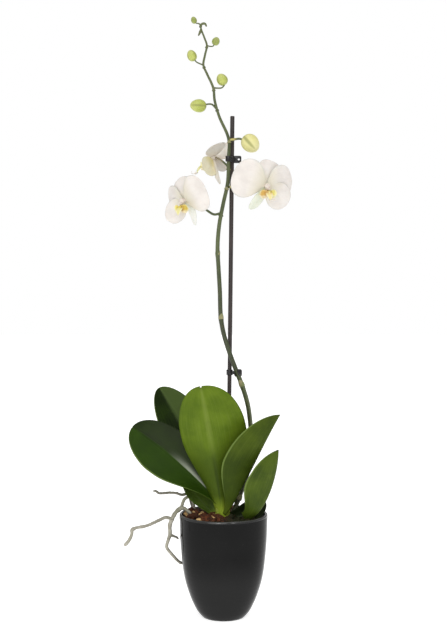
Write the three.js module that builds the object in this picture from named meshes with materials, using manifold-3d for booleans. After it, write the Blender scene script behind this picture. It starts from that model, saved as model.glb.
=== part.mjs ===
// A potted moth orchid: a glazed pot with a bark-filled nursery pot inside it, seven thick leaves
// round a short crown, aerial roots over the rim, and one arching flower spike with three white
// blooms and six buds, clipped to a thin stake.
// Millimetres, +Z up. The origin is the middle of the pot's foot, on the surface that it stands on.
// The viewer of the main view stands at -Y, with +X to the right.
import * as THREE from 'three';
import { mergeVertices } from 'three/addons/utils/BufferGeometryUtils.js';
import Module from 'manifold-3d';

const wasm = await Module();
wasm.setup();

// ------------------------------------------------------------------ driving dimensions

const GAP = 0.3;                    // clearance between pieces that touch in the real plant

const POT_HEIGHT = 154;
const POT_RIM_RADIUS = 66;
const POT_FOOT_RADIUS = 32;
const POT_WALL = 4.5;
const POT_FLOOR = 11;               // inside floor of the pot above the surface
const POT_SIDES = 32;

const GROW_POT_BASE_RADIUS = 35;
const GROW_POT_TOP_RADIUS = 58;
const GROW_POT_TOP = 147.5;
const GROW_POT_WALL = 1.2;
const GROW_POT_FLANGE_RADIUS = 60.4;
const GROW_POT_FLANGE = 1.5;        // thickness of the flange under the bark
const DRAIN_HOLES = 5;
const DRAIN_HOLE_RADIUS = 4;
const DRAIN_CIRCLE_RADIUS = 22;     // circle that the drain holes stand on

const BARK_LEVEL = 152.5;           // mean level of the bark, just under the lip
const BARK_CHIPS = 40;
const BARK_SEED = 7;

const STAKE_RADIUS = 3.2;
const STAKE_TOP = [13.2, 8, 744.4];
const STAKE_BOTTOM = [5.9, 8, 70];

const LEAF_THICKNESS = 1.8;
const TEPAL_THICKNESS = 1.0;
const LIP_THICKNESS = 1.2;

// ------------------------------------------------------------------ small helpers

const vec = (point) => new THREE.Vector3(...point);
const mix = (from, to, share) => from + (to - from) * share;
const smooth = (share) => share * share * (3 - 2 * share);

function seededRandom(seed) {
  let state = seed;
  return () => {
    state = (state * 1664525 + 1013904223) % 4294967296;
    return state / 4294967296;
  };
}

function toSolid(geometry) {
  const bare = geometry.clone();
  bare.deleteAttribute('normal');
  bare.deleteAttribute('uv');
  const merged = mergeVertices(bare, 1e-4);
  return new wasm.Manifold(new wasm.Mesh({
    numProp: 3,
    vertProperties: merged.attributes.position.array,
    triVerts: merged.index.array,
  }));
}

function toGeometry(solid) {
  const mesh = solid.getMesh();
  const geometry = new THREE.BufferGeometry();
  geometry.setAttribute('position', new THREE.BufferAttribute(mesh.vertProperties, 3));
  geometry.setIndex(new THREE.BufferAttribute(mesh.triVerts, 1));
  geometry.computeVertexNormals();
  return geometry;
}

const join = (solids) => solids.reduce((whole, solid) => whole.add(solid));
const cut = (solid, cutters) => cutters.reduce((rest, cutter) => rest.subtract(cutter), solid);

// The largest piece that a cut leaves; loose scraps are dropped.
function largest(solid) {
  return solid.decompose().reduce((best, piece) => (piece.volume() > best.volume() ? piece : best));
}

// A closed thin blade. surface(u, v) gives its middle face, u from root to tip and v from -1 to 1.
// Both faces are split along the same diagonals, so that a waved blade never crosses itself.
function blade(surface, rows, columns, thickness) {
  const step = 1e-3;
  const position = [];
  const index = [];
  for (const side of [0.5, -0.5]) {
    for (let i = 0; i <= rows; i += 1) {
      for (let j = 0; j <= columns; j += 1) {
        const u = i / rows;
        const v = -1 + (2 * j) / columns;
        const along = surface(Math.min(1, u + step), v).sub(surface(Math.max(0, u - step), v));
        const across = surface(u, Math.min(1, v + step)).sub(surface(u, Math.max(-1, v - step)));
        const normal = along.cross(across).normalize();
        const point = surface(u, v).addScaledVector(normal, side * thickness);
        position.push(point.x, point.y, point.z);
      }
    }
  }
  const width = columns + 1;
  const back = (rows + 1) * width;
  const wall = (from, to) => index.push(to, from, from + back, to, from + back, to + back);
  for (let i = 0; i < rows; i += 1) {
    for (let j = 0; j < columns; j += 1) {
      const a = i * width + j;
      const b = a + width;
      index.push(a, b, b + 1, a, b + 1, a + 1);
      index.push(a + back, b + 1 + back, b + back, a + back, a + 1 + back, b + 1 + back);
    }
    wall(i * width, (i + 1) * width);
    wall((i + 1) * width + columns, i * width + columns);
  }
  for (let j = 0; j < columns; j += 1) {
    wall(j + 1, j);
    wall(rows * width + j, rows * width + j + 1);
  }
  const geometry = new THREE.BufferGeometry();
  geometry.setAttribute('position', new THREE.Float32BufferAttribute(position, 3));
  geometry.setIndex(index);
  return toSolid(geometry);
}

// A closed tube of changing thickness along a smooth curve through the points.
function tube(points, radii, sides, rings) {
  const curve = new THREE.CatmullRomCurve3(points.map(vec), false, 'centripetal');
  const frames = curve.computeFrenetFrames(rings, false);
  const position = [];
  const index = [];
  for (let i = 0; i <= rings; i += 1) {
    const share = i / rings;
    const centre = curve.getPointAt(share);
    const place = share * (radii.length - 1);
    const before = Math.min(Math.floor(place), radii.length - 2);
    const radius = mix(radii[before], radii[before + 1], place - before);
    for (let j = 0; j < sides; j += 1) {
      const angle = (2 * Math.PI * j) / sides;
      const point = centre.clone()
        .addScaledVector(frames.normals[i], Math.cos(angle) * radius)
        .addScaledVector(frames.binormals[i], Math.sin(angle) * radius);
      position.push(point.x, point.y, point.z);
    }
  }
  for (let i = 0; i < rings; i += 1) {
    for (let j = 0; j < sides; j += 1) {
      const a = i * sides + j;
      const b = i * sides + ((j + 1) % sides);
      index.push(a, b, b + sides, a, b + sides, a + sides);
    }
  }
  const last = rings * sides;
  for (let j = 1; j < sides - 1; j += 1) {
    index.push(0, j + 1, j);
    index.push(last, last + j, last + j + 1);
  }
  const geometry = new THREE.BufferGeometry();
  geometry.setAttribute('position', new THREE.Float32BufferAttribute(position, 3));
  geometry.setIndex(index);
  return toSolid(geometry);
}

// A turned body about +Z; the profile runs from the axis at the bottom to the axis at the top.
function turned(profile, sides) {
  const points = profile.map(([radius, height]) => new THREE.Vector2(radius, height));
  const geometry = new THREE.LatheGeometry(points, sides);
  geometry.rotateX(Math.PI / 2);
  const solid = toSolid(geometry);
  return solid.volume() > 0 ? solid : flipped(geometry);
}

function flipped(geometry) {
  const order = Array.from(geometry.index.array);
  geometry.setIndex(order.reverse());
  return toSolid(geometry);
}

// The turn that brings +Y to the given direction.
function turnedTo(axis) {
  return new THREE.Quaternion().setFromUnitVectors(new THREE.Vector3(0, 1, 0), axis.clone().normalize());
}

// An ellipsoid with its long half-axis along `axis`.
function ellipsoid(centre, axis, halfLength, radius, around, along) {
  const geometry = new THREE.SphereGeometry(1, around, along);
  geometry.scale(radius, halfLength, radius);
  geometry.applyQuaternion(turnedTo(axis));
  geometry.translate(centre.x, centre.y, centre.z);
  return toSolid(geometry);
}

// ------------------------------------------------------------------ pot, nursery pot and bark

const POT_OUTSIDE = [
  [POT_FOOT_RADIUS, 0], [33.4, 1.6], [37.4, 6], [41, 11.5], [45, 19.4], [49.2, 29], [52.4, 38], [56.4, 51],
  [59.6, 66], [62.3, 87], [64.6, 115],
];
const POT_LIP = [[65.6, 145], [POT_RIM_RADIUS, 151], [65.2, 153.4], [63.8, POT_HEIGHT], [62.4, 153.2],
  [61.7, 151]];
const POT_FLOOR_CORNER = [[41, 19], [37.6, 13], [36.4, POT_FLOOR]];

function potSolid() {
  const inside = POT_OUTSIDE
    .filter((_, k) => k > 4 && k % 2)
    .reverse()
    .map(([radius, height]) => [radius - POT_WALL, height]);
  const outline = [[0, 0], ...POT_OUTSIDE, ...POT_LIP, ...inside, ...POT_FLOOR_CORNER, [0, POT_FLOOR]];
  return turned(outline, POT_SIDES);
}

function growPotSolid() {
  const bottom = POT_FLOOR + GAP;
  const floor = bottom + GROW_POT_WALL;
  const flange = GROW_POT_TOP - GROW_POT_FLANGE;
  const cup = turned([
    [0, bottom], [GROW_POT_BASE_RADIUS, bottom], [GROW_POT_TOP_RADIUS, flange],
    [GROW_POT_FLANGE_RADIUS, flange], [GROW_POT_FLANGE_RADIUS, GROW_POT_TOP],
    [GROW_POT_TOP_RADIUS - GROW_POT_WALL, GROW_POT_TOP],
    [GROW_POT_BASE_RADIUS - GROW_POT_WALL, floor], [0, floor],
  ], POT_SIDES);
  const holes = Array.from({ length: DRAIN_HOLES }, (_, k) => {
    const angle = (2 * Math.PI * k) / DRAIN_HOLES;
    const hole = new THREE.CylinderGeometry(DRAIN_HOLE_RADIUS, DRAIN_HOLE_RADIUS, 4 * GROW_POT_WALL, 10);
    hole.rotateX(Math.PI / 2);
    hole.translate(DRAIN_CIRCLE_RADIUS * Math.cos(angle), DRAIN_CIRCLE_RADIUS * Math.sin(angle), bottom);
    return toSolid(hole);
  });
  return cut(cup, holes);
}

// One chip of bark: a box with its corners pushed about, turned at random.
function barkChip(random, centre, length) {
  const width = length * mix(0.45, 0.7, random());
  const height = length * mix(0.22, 0.4, random());
  const geometry = new THREE.BoxGeometry(length, width, height);
  geometry.deleteAttribute('normal');
  geometry.deleteAttribute('uv');
  const chip = mergeVertices(geometry);
  const corners = chip.attributes.position;
  for (let k = 0; k < corners.count; k += 1) {
    corners.setXYZ(
      k,
      corners.getX(k) * mix(0.75, 1.15, random()),
      corners.getY(k) * mix(0.7, 1.2, random()),
      corners.getZ(k) * mix(0.7, 1.3, random()),
    );
  }
  chip.rotateX(mix(-0.6, 0.6, random()));
  chip.rotateY(mix(-0.6, 0.6, random()));
  chip.rotateZ(2 * Math.PI * random());
  chip.translate(...centre);
  return toSolid(chip);
}

function barkSolid(holes) {
  const random = seededRandom(BARK_SEED);
  const slope = (GROW_POT_TOP_RADIUS - GROW_POT_BASE_RADIUS) / (GROW_POT_TOP - POT_FLOOR);
  const bottom = POT_FLOOR + GAP + GROW_POT_WALL + GAP;
  const bottomRadius = GROW_POT_BASE_RADIUS - GROW_POT_WALL - 1.3 * GAP;
  const topRadius = bottomRadius + slope * (GROW_POT_TOP - bottom);
  const overFlange = GROW_POT_TOP + GAP;
  const core = turned([
    [0, bottom], [bottomRadius, bottom], [topRadius, GROW_POT_TOP], [topRadius, overFlange + 0.2],
    [58.6, overFlange + 0.2], [58, 150], [48, BARK_LEVEL - 1], [0, BARK_LEVEL - 1],
  ], 24);
  const chips = [];
  for (let k = 0; k < BARK_CHIPS; k += 1) {
    const radius = 54 * Math.sqrt((k + 0.5) / BARK_CHIPS);
    const angle = 2.4 * k + 0.5 * random();
    const x = radius * Math.cos(angle);
    const heap = 2.5 * smooth(Math.min(1, Math.max(0, -x / 50)));
    const z = BARK_LEVEL - 0.6 + heap * random() + mix(-1.2, 1.6, random());
    chips.push(barkChip(random, [x, radius * Math.sin(angle), z], mix(13, 21, random())));
  }
  const room = turned([[0, 120], [40, 120], [40, overFlange], [60.6, overFlange], [60.6, 175], [0, 175]], 24);
  return largest(cut(core.add(join(chips).intersect(room)), holes));
}

// ------------------------------------------------------------------ leaves and crown

// Each leaf: the midrib's four control points, the direction that its upper face turns to, half its
// width, the fold of each half in radians at root and tip, where along it it is widest, its width at
// the root as a share, how pointed its tip is (0.5 is round), how deep the tip is notched, and how
// much wider one half is than the other.
const LEAVES = {
  leaf_front: {
    midrib: [[-1, -22, 148], [-8, -30, 212], [-22, -48, 290], [-33, -56, 349]],
    face: [0.05, 0.95, 0.3], halfWidth: 52, fold: [0.8, 0.3],
    widest: 0.58, root: 0.26, tip: 0.5, notch: 0.012, skew: -0.08,
  },
  leaf_right: {
    midrib: [[3, -22, 156], [26, -34, 190], [55, -47, 262], [82, -40, 306]],
    face: [-0.8, 0.35, 0.5], halfWidth: 44, fold: [0.9, 0.85],
    widest: 0.5, root: 0.12, tip: 0.85, notch: 0, skew: 0.04,
  },
  leaf_right_low: {
    midrib: [[33, -24, 148], [63, -32, 157.5], [79.7, -40, 221], [79.8, -38, 254.7]],
    face: [-0.85, 0.2, 0.45], halfWidth: 42.6, fold: [0.96, 0.7],
    widest: 0.59, root: 0.37, tip: 0.77, notch: 0, skew: 0.11,
  },
  leaf_left: {
    midrib: [[-8, -12, 173], [-38, -6, 206], [-84, 6, 247], [-137, 16, 281]],
    face: [0.25, -0.88, 0.4], halfWidth: 44, fold: [0.75, 0.3],
    widest: 0.58, root: 0.2, tip: 0.5, notch: 0, skew: -0.12,
  },
  leaf_left_back: {
    midrib: [[-6, 4, 160], [-26, 34, 222], [-66, 60, 276], [-100, 72, 335]],
    face: [0.2, -0.95, 0.3], halfWidth: 41, fold: [0.8, 0.45],
    widest: 0.5, root: 0.3, tip: 0.55, notch: 0, skew: 0,
  },
  leaf_left_low: {
    midrib: [[-12, -6, 152], [-28, 0, 164], [-46, 8, 184], [-60, 16, 208]],
    face: [0.5, -0.7, 0.4], halfWidth: 20, fold: [0.6, 0.3],
    widest: 0.5, root: 0.5, tip: 0.5, notch: 0, skew: 0,
  },
  leaf_right_back: {
    midrib: [[12, -12, 147], [30, -14, 153], [46, -14, 160], [60, -4, 175]],
    face: [0.1, -0.95, 0.2], halfWidth: 17, fold: [0.4, 0.3],
    widest: 0.5, root: 0.7, tip: 0.5, notch: 0, skew: 0,
  },
};
const LEAF_CREASE = 0.16;           // how softly the two halves meet along the midrib

function leafSurface(leaf, growth) {
  const rib = new THREE.CubicBezierCurve3(...leaf.midrib.map(vec));
  const face = vec(leaf.face);
  const crease = (side) => (Math.hypot(side, LEAF_CREASE) - LEAF_CREASE)
    / (Math.hypot(1, LEAF_CREASE) - LEAF_CREASE);
  return (u, v) => {
    const notch = 1 - leaf.notch * Math.max(0, 1 - Math.abs(v) * 3);
    const along = (1 - (1 - u) ** 1.35) * notch;
    const tangent = rib.getTangent(along);
    const up = face.clone().addScaledVector(tangent, -face.dot(tangent)).normalize();
    const side = tangent.clone().cross(up);
    const outward = Math.max(0, (along - leaf.widest) / (1 - leaf.widest));
    const inward = smooth(Math.min(1, along / leaf.widest));
    const taper = Math.max(0.1, (1 - outward ** 2.2) ** leaf.tip);
    const width = leaf.halfWidth * mix(leaf.root, 1, inward) * taper * (1 + leaf.skew * v) + growth;
    const fold = mix(leaf.fold[0], leaf.fold[1], Math.min(1, along * 1.4));
    return rib.getPoint(along)
      .addScaledVector(tangent, growth * (2 * u - 1) ** 9)
      .addScaledVector(side, width * v * Math.cos(fold))
      .addScaledVector(up, width * Math.sin(fold) * crease(v));
  };
}

function leafSolid(leaf, growth) {
  return blade(leafSurface(leaf, growth), 10, 6, LEAF_THICKNESS + 2 * growth);
}

const CROWN_PATH = [[-2, -12, 118], [-2, -12, 140], [-2, -12, 160], [-2, -10, 178]];
const CROWN_RADII = [6, 8.6, 8.4, 5];

// ------------------------------------------------------------------ spike, stake and roots

const SPIKE_ROUTE = [
  [8, -4, 142], [13, -3, 153], [17, -2, 161.7], [21, 2, 171.5], [28.4, 7, 190], [36.6, 14, 214.8],
  [42, 19, 244.2], [41.6, 19, 270], [39.2, 15, 296.3], [36.1, 9, 316], [28.6, 2, 342.1], [18, -3, 369.7],
  [8.6, -5, 395.1], [0.3, -2, 422], [-4, 0, 447], [-5.4, 0, 484.7], [-7.4, 0, 520.2], [-8.8, 0, 549],
  [-6.4, 0, 582.5], [-0.4, 0, 614.5], [6.2, -1, 645.7], [7.4, -1, 681.8], [7.7, -1, 709.4],
  [-6.6, -4, 743], [-13, -6, 765.7], [-15, -6, 783.5], [-24.5, -6, 804.8], [-29.5, -6, 817],
  [-27.2, -6, 831.4], [-24.4, -6, 845.5], [-28.1, -6, 857], [-32.5, -6, 868.5], [-34.3, -6, 876.4],
];
const SPIKE_RADII = [3.5, 3.7, 3.7, 3.6, 3.5, 3.3, 3.1, 2.9, 2.6, 2.1, 1.7, 1.3];

// Flower stalks, from inside the stem to the back of the bud or bloom that each carries.
const STALKS = [
  { points: [[7.7, -1, 707.6], [16, -6, 708.6], [24, -9, 709], [29.5, -11, 706.4]], radii: [2.3, 1.7, 1.6] },
  {
    points: [[-11, -5, 754], [-17, -6.5, 759.5], [-24, -8, 759.6], [-30, -8, 758]],
    radii: [1.5, 1.3, 1.2],
  },
  {
    points: [[-15, -6, 784], [-9, -5.5, 783.5], [-2.5, -4.5, 784.2], [1.5, -4, 788.3]],
    radii: [1.3, 1.1, 1.1],
  },
  {
    points: [[-29.5, -6, 817], [-35, -7, 819], [-39.5, -8, 821], [-42.5, -8, 824.6]],
    radii: [1.2, 1, 1],
  },
  {
    points: [[-24.5, -6, 845.5], [-20, -5, 844.5], [-15.5, -4, 845], [-13.5, -4, 847.6]],
    radii: [1.1, 0.9, 0.9],
  },
  {
    points: [[-34, -6, 876], [-37, -6, 877.6], [-40, -6, 878], [-41.8, -6, 879.8]],
    radii: [1.2, 0.9, 0.9],
  },
  {
    points: [[7.9, -1, 639], [14, -7, 639], [30, -14, 642], [46, -20, 642], [60, -29, 639.2]],
    radii: [1.9, 1.7, 1.7],
  },
  {
    points: [[-4.5, 0, 600.5], [-14, -4, 598.5], [-24, -8, 604], [-34, -14, 611], [-53.4, -22.4, 619]],
    radii: [1.9, 1.7, 1.7],
  },
  {
    points: [[7.4, -1, 669], [3, 4, 673.5], [-2, 9, 678.5], [-7, 14.5, 682.6], [-12.1, 20.1, 685]],
    radii: [1.7, 1.3, 1.3],
  },
];

// Nodes of the spike: a sheathing bract that stands a little proud of the stem.
const BRACTS = [
  { at: 0.047, length: 9, radius: 4.9 }, { at: 0.282, length: 13, radius: 4.2 },
  { at: 0.42, length: 10, radius: 3.9 }, { at: 0.545, length: 10, radius: 3.6 },
];
const TIP_SCALES = [
  {
    points: [[-34.2, -6, 873.5], [-31, -6.5, 877], [-27, -7, 876.8], [-24.8, -7, 872.8]],
    radii: [1.6, 1.8, 1.2],
  },
  { points: [[-32.6, -6, 869.5], [-34.6, -7.5, 864], [-36.8, -9, 859]], radii: [1.6, 1.9, 0.9] },
];

const smoothRoute = () => new THREE.CatmullRomCurve3(SPIKE_ROUTE.map(vec), false, 'centripetal');

function spikeSolid(growth) {
  const grown = (radii) => radii.map((radius) => radius + growth);
  const route = smoothRoute();
  const bracts = BRACTS.map(({ at, length, radius }) => {
    const share = length / route.getLength();
    const points = [0, 0.5, 1].map((step) => route.getPointAt(at + share * step).toArray());
    return tube(points, grown([radius * 0.8, radius, radius * 0.72]), 6, 3);
  });
  return join([
    tube(SPIKE_ROUTE, grown(SPIKE_RADII), 6, 40),
    ...STALKS.map(({ points, radii }) => tube(points, grown(radii), 5, 5)),
    ...TIP_SCALES.map(({ points, radii }) => tube(points, grown(radii), 5, 4)),
    ...bracts,
  ]);
}

function stakeSolid(growth) {
  const below = vec(STAKE_BOTTOM).add(new THREE.Vector3(0, 0, -growth)).toArray();
  return tube([below, STAKE_TOP], [STAKE_RADIUS + growth, STAKE_RADIUS + growth], 10, 2);
}

const ROOT_UPPER = [{
  points: [[-41, 30, 144], [-47, 25, 160], [-52, 17, 176], [-56, 6, 181.5], [-62, 2, 181], [-71, 0, 184],
    [-80, -2, 185], [-87, -3, 184.6], [-96, -4, 184.6], [-101, -5, 188], [-105, -6, 188]],
  radii: [2, 1.8, 1.7, 1.5],
}];
const ROOTS_HANGING = [
  {
    points: [[-42, 16, 142], [-44, 14, 158], [-47, 11, 172], [-52, 9, 176.6], [-59, 6, 173], [-62, 4, 165],
      [-65, 2, 158.8], [-73, 0, 153.5], [-76, -2, 147], [-80, -1, 136], [-80, 0, 122], [-83, 1, 112],
      [-85, 2, 102], [-80, 4, 94], [-74, 8, 86], [-69, 14, 79], [-65, 22, 74], [-60, 32, 70]],
    radii: [1.8, 1.9, 2.2, 2.3, 2.1, 1.9, 1.7],
  },
  {
    points: [[-46, 2, 142], [-52, 1, 155], [-59, 0, 160.5], [-66, -1, 160], [-72, -3, 154], [-77, -4, 147],
      [-86, -8, 149], [-96, -12, 145.5], [-113, -18, 139], [-130, -24, 136.5], [-134.5, -25, 134],
      [-135, -25, 128], [-139.5, -26, 118], [-146, -28, 111]],
    radii: [1.8, 2, 2.3, 2, 1.9, 1.9, 2.3],
  },
  {
    points: [[-43, -9, 142], [-50, -7, 156], [-58, -4, 162], [-65, 1, 161.5], [-71, 3, 156.5],
      [-76, 0, 147]],
    radii: [1.6, 1.8, 1.6],
  },
  {
    points: [[-80, 0, 121], [-75, 4, 118.5], [-71, 10, 115.5], [-68, 18, 111]],
    radii: [1.7, 1.4, 1.1],
  },
];

function rootSolid(strands, growth) {
  return join(strands.map(({ points, radii }) => (
    tube(points, radii.map((radius) => radius + growth), 5, Math.round(points.length * 1.6)))));
}

// ------------------------------------------------------------------ buds

const BUDS = {
  bud_a: { centre: [-43.4, -6, 882.4], axis: [-0.35, 0, 0.94], length: 10.5, radius: 4.2 },
  bud_b: { centre: [-11.2, -4, 852.1], axis: [0.45, 0, 0.9], length: 12.5, radius: 5.6 },
  bud_c: { centre: [-46.4, -8, 830.4], axis: [-0.4, 0, 0.92], length: 17, radius: 6.9 },
  bud_d: { centre: [-2.2, -4, 796.2], axis: [-0.5, 0, 0.87], length: 18, radius: 8 },
  bud_e: { centre: [-37, -8, 757.4], axis: [-0.99, -0.05, 0.05], length: 24, radius: 9.5 },
  bud_f: { centre: [39.6, -13, 701.6], axis: [0.6, -0.35, -0.72], length: 29.5, radius: 12.8 },
};

// An egg of three overlapping sepals: its round sides are drawn in along three seams.
function budSolid({ centre, axis, length, radius }) {
  const geometry = new THREE.SphereGeometry(1, 9, 7, (2 * Math.PI) / 3);
  const corners = geometry.attributes.position;
  for (let k = 0; k < corners.count; k += 1) {
    const angle = Math.atan2(corners.getZ(k), corners.getX(k));
    const height = corners.getY(k);
    const seam = 1 - 0.07 * Math.abs(Math.sin(1.5 * angle)) ** 6 * (1 - height * height);
    const egg = seam * (1 - 0.1 * height);
    corners.setXYZ(k, corners.getX(k) * radius * egg, height * length / 2, corners.getZ(k) * radius * egg);
  }
  geometry.applyQuaternion(turnedTo(vec(axis)));
  geometry.translate(...centre);
  return toSolid(geometry);
}

// ------------------------------------------------------------------ blooms

// Five tepals round the column: the angle of each from the top of the bloom, clockwise for one who
// looks at its face, then its length, half its width, how far it bends back at root and tip, and how
// far it is twisted about its own length.
const TEPALS = {
  dorsal: { angle: 0, length: 43, halfWidth: 16, bend: [0.1, 0.3], twist: 0, lift: -0.8, broad: 0 },
  sepal_right: { angle: 146, length: 42, halfWidth: 14, bend: [0, 0.35], twist: 0, lift: -0.8, broad: 0 },
  sepal_left: { angle: -146, length: 42, halfWidth: 14, bend: [0, 0.35], twist: 0, lift: -0.8, broad: 0 },
  petal_right: { angle: 76, length: 50, halfWidth: 26, bend: [0.1, 0.3], twist: 0, lift: 0.8, broad: 1 },
  petal_left: { angle: -76, length: 50, halfWidth: 26, bend: [0.1, 0.3], twist: 0, lift: 0.8, broad: 1 },
};
const COLUMN_LENGTH = 10;

// Where each bloom sits, which way it faces, how far it is rolled clockwise, how far its lip reaches
// forward, and how its own tepals differ from the even five: `sway` drifts a tepal sideways toward
// its tip, and `nip` narrows one side of it near the root.
const BLOOMS = {
  right: {
    hub: [61.6, -33, 638], facing: [0.34, -0.9, -0.24], roll: -0.04, lipReach: 1,
    own: {
      dorsal: { angle: 27, length: 39, halfWidth: 23, bend: [0.1, 0.35] },
      sepal_left: { angle: -161, length: 43, halfWidth: 11.5, twist: -0.5, sway: -0.12 },
      sepal_right: { angle: 125, length: 51, halfWidth: 20, bend: [0, 0.2] },
      petal_left: { angle: -71, length: 52, halfWidth: 30, nip: -0.3 },
      petal_right: { angle: 82, length: 49 },
    },
  },
  left: {
    hub: [-57, -26, 617.5], facing: [-0.62, -0.72, -0.3], roll: 0, lipReach: 1,
    own: {
      dorsal: { angle: -4, length: 35, halfWidth: 20 },
      sepal_left: { angle: -124, length: 48, halfWidth: 17, bend: [0, -0.1] },
      sepal_right: { angle: 145, length: 36.5, halfWidth: 7, twist: -0.1, bend: [0.1, 0.15], sway: 0.42 },
      petal_right: { angle: 69, length: 42, halfWidth: 28, bend: [0.1, 0.2] },
      petal_left: { angle: -90, length: 44, halfWidth: 22, bend: [0.1, 0.3] },
    },
  },
  back: {
    hub: [-16.2, 22, 684.4], facing: [-0.86, 0.4, -0.14], roll: 0, lipReach: 1.5,
    own: {
      dorsal: { angle: 16, length: 29, halfWidth: 19, bend: [0.5, 0.8], twist: -0.5 },
      sepal_right: { angle: 160, length: 42, halfWidth: 7, bend: [0.1, 0.3], twist: -0.9 },
      sepal_left: { angle: -150, length: 26, halfWidth: 15, bend: [0.3, 0.5] },
      petal_left: { angle: -100, length: 40, halfWidth: 17, bend: [0.6, 0.9], twist: -0.9 },
      petal_right: { angle: 135, length: 33, halfWidth: 16, bend: [-0.1, -0.1], twist: 0.3 },
    },
  },
};

function bloomMatrix({ hub, facing, roll }) {
  const front = vec(facing).normalize();
  const level = new THREE.Vector3(0, 0, 1).addScaledVector(front, -front.z).normalize();
  const up = level.applyAxisAngle(front, -roll);
  const right = up.clone().cross(front);
  return new THREE.Matrix4().makeBasis(right, up, front).setPosition(...hub);
}

function tepalSurface(tepal, growth) {
  const { sway = 0, nip = 0 } = tepal;
  const angle = THREE.MathUtils.degToRad(tepal.angle);
  const outward = new THREE.Vector3(Math.sin(angle), Math.cos(angle), 0);
  const sideways = new THREE.Vector3(outward.y, -outward.x, 0).applyAxisAngle(outward, tepal.twist);
  const front = sideways.clone().cross(outward);
  return (u, v) => {
    const along = 1 - (1 - u) ** 1.5;
    const root = mix(0.3, 0.14, tepal.broad);
    const peak = 0.5;
    const rise = mix(root, 1, Math.sin(Math.PI / 2 * Math.min(1, along / peak)) ** mix(1, 0.8, tepal.broad));
    const fall = Math.sqrt(Math.max(0.01, 1 - Math.max(0, (along - peak) / (1 - peak)) ** 2.3));
    const pinch = v * nip > 0 ? 1 - Math.abs(nip * v) * (1 - along) ** 2 : 1;
    const width = tepal.halfWidth * rise * fall * pinch + growth;
    const bend = mix(tepal.bend[0], tepal.bend[1], along);
    const reach = 2 + (tepal.length - 2) * along;
    const wave = 0.9 * Math.sin(5 * along + 1.5 * v) * v * v * along;
    return new THREE.Vector3()
      .addScaledVector(outward, reach * Math.cos(bend))
      .addScaledVector(sideways, width * v + sway * along * along * tepal.length)
      .addScaledVector(front, tepal.lift - reach * Math.sin(bend) - 0.1 * width * v * v + wave);
  };
}

function bloomSolid(place, growth) {
  const tepals = Object.entries(TEPALS).map(([name, usual]) => {
    const tepal = { ...usual, ...place.own[name] };
    const [rows, columns] = tepal.broad ? [6, 4] : [5, 2];
    return blade(tepalSurface(tepal, growth), rows, columns, TEPAL_THICKNESS + 2 * growth);
  });
  const back = new THREE.Vector3(0, 0, -1.2);
  const hub = ellipsoid(back, new THREE.Vector3(0, 0, 1), 3.6 + growth, 3.8 + growth, 8, 5);
  const column = tube([[0, 0, 0], [0, 0.6, 5], [0, -0.6, COLUMN_LENGTH]],
    [2.9 + growth, 3 + growth, 4 + growth, 2.4 + growth], 8, 5);
  return join([...tepals, hub, column]).transform(bloomMatrix(place).elements);
}

// The lip: two rounded side lobes beside the column, a mid lobe like a spade, the callus between
// them, and two tendrils at the tip.
function lipSolid(place) {
  const midLobe = blade((u, v) => {
    const width = 3.4 + 2.4 * Math.sin(Math.PI * Math.min(1, 0.1 + 1.05 * u)) ** 1.3 - 1.4 * u;
    const front = 6 + 13 * Math.sin(1.45 * u) + 0.3 * Math.abs(v) * width;
    return new THREE.Vector3(width * v, -5 - 9.5 * u - 2.4 * u * u, front);
  }, 4, 2, LIP_THICKNESS);
  const sideLobes = [-1, 1].map((side) => blade((u, v) => {
    const up = 2 * u - 1;
    const across = v * Math.sqrt(1 - up * up / 2);
    const rise = up * Math.sqrt(1 - v * v / 2);
    const hollow = across * across + rise * rise;
    return new THREE.Vector3(side * (7 + 6.3 * across), -9.8 + 6.3 * rise, 8.2 + 3.4 * hollow - 1.6 * across);
  }, 4, 3, LIP_THICKNESS));
  const tendrils = [-1, 1].map((side) => tube(
    [[side * 1.4, -16.4, 18.6], [side * 2.6, -18.2, 21.6], [side * 5.2, -17, 23.8], [side * 6.4, -13.8, 22.8]],
    [0.8, 0.6, 0.45], 4, 4));
  const callus = ellipsoid(new THREE.Vector3(0, -5.8, 9), new THREE.Vector3(0, -0.3, 1), 4.6, 3, 7, 4);
  const longer = new THREE.Matrix4().makeScale(1, 1, place.lipReach);
  const frame = bloomMatrix(place).multiply(longer);
  return join([midLobe, ...sideLobes, ...tendrils, callus]).transform(frame.elements);
}

// ------------------------------------------------------------------ clips

const CLIP_WALL = 1.4;
const CLIP_HEIGHT = 8;
const CLIP_BAR = 3;
const EAR_HEIGHT = 10.5;
const EAR_CORNER = 2.4;
const EAR_SPREAD = 1.9;             // each of the two ears stands this far from the middle plane

// Both clips: the height of the middle, the ear's two ends along X and its Y, the room that the
// stem's loop stands in, and how far the front of that loop is open.
const CLIPS = {
  clip_upper: {
    level: 680.6, stem: [7.4, -1, 680.6], stemAxis: [0, 0, 1], stemRadius: 2.8, ear: [15, 26.5, 8], open: 0,
    earHole: 1.6,
  },
  clip_lower: {
    level: 364, stem: [20.2, -2, 364], stemAxis: [-0.36, -0.17, 0.93], stemRadius: 3.5,
    ear: [22, 27.5, 1], open: 5,
  },
};

function stakeAt(level) {
  const share = (level - STAKE_BOTTOM[2]) / (STAKE_TOP[2] - STAKE_BOTTOM[2]);
  return vec(STAKE_BOTTOM).lerp(vec(STAKE_TOP), share);
}

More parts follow.
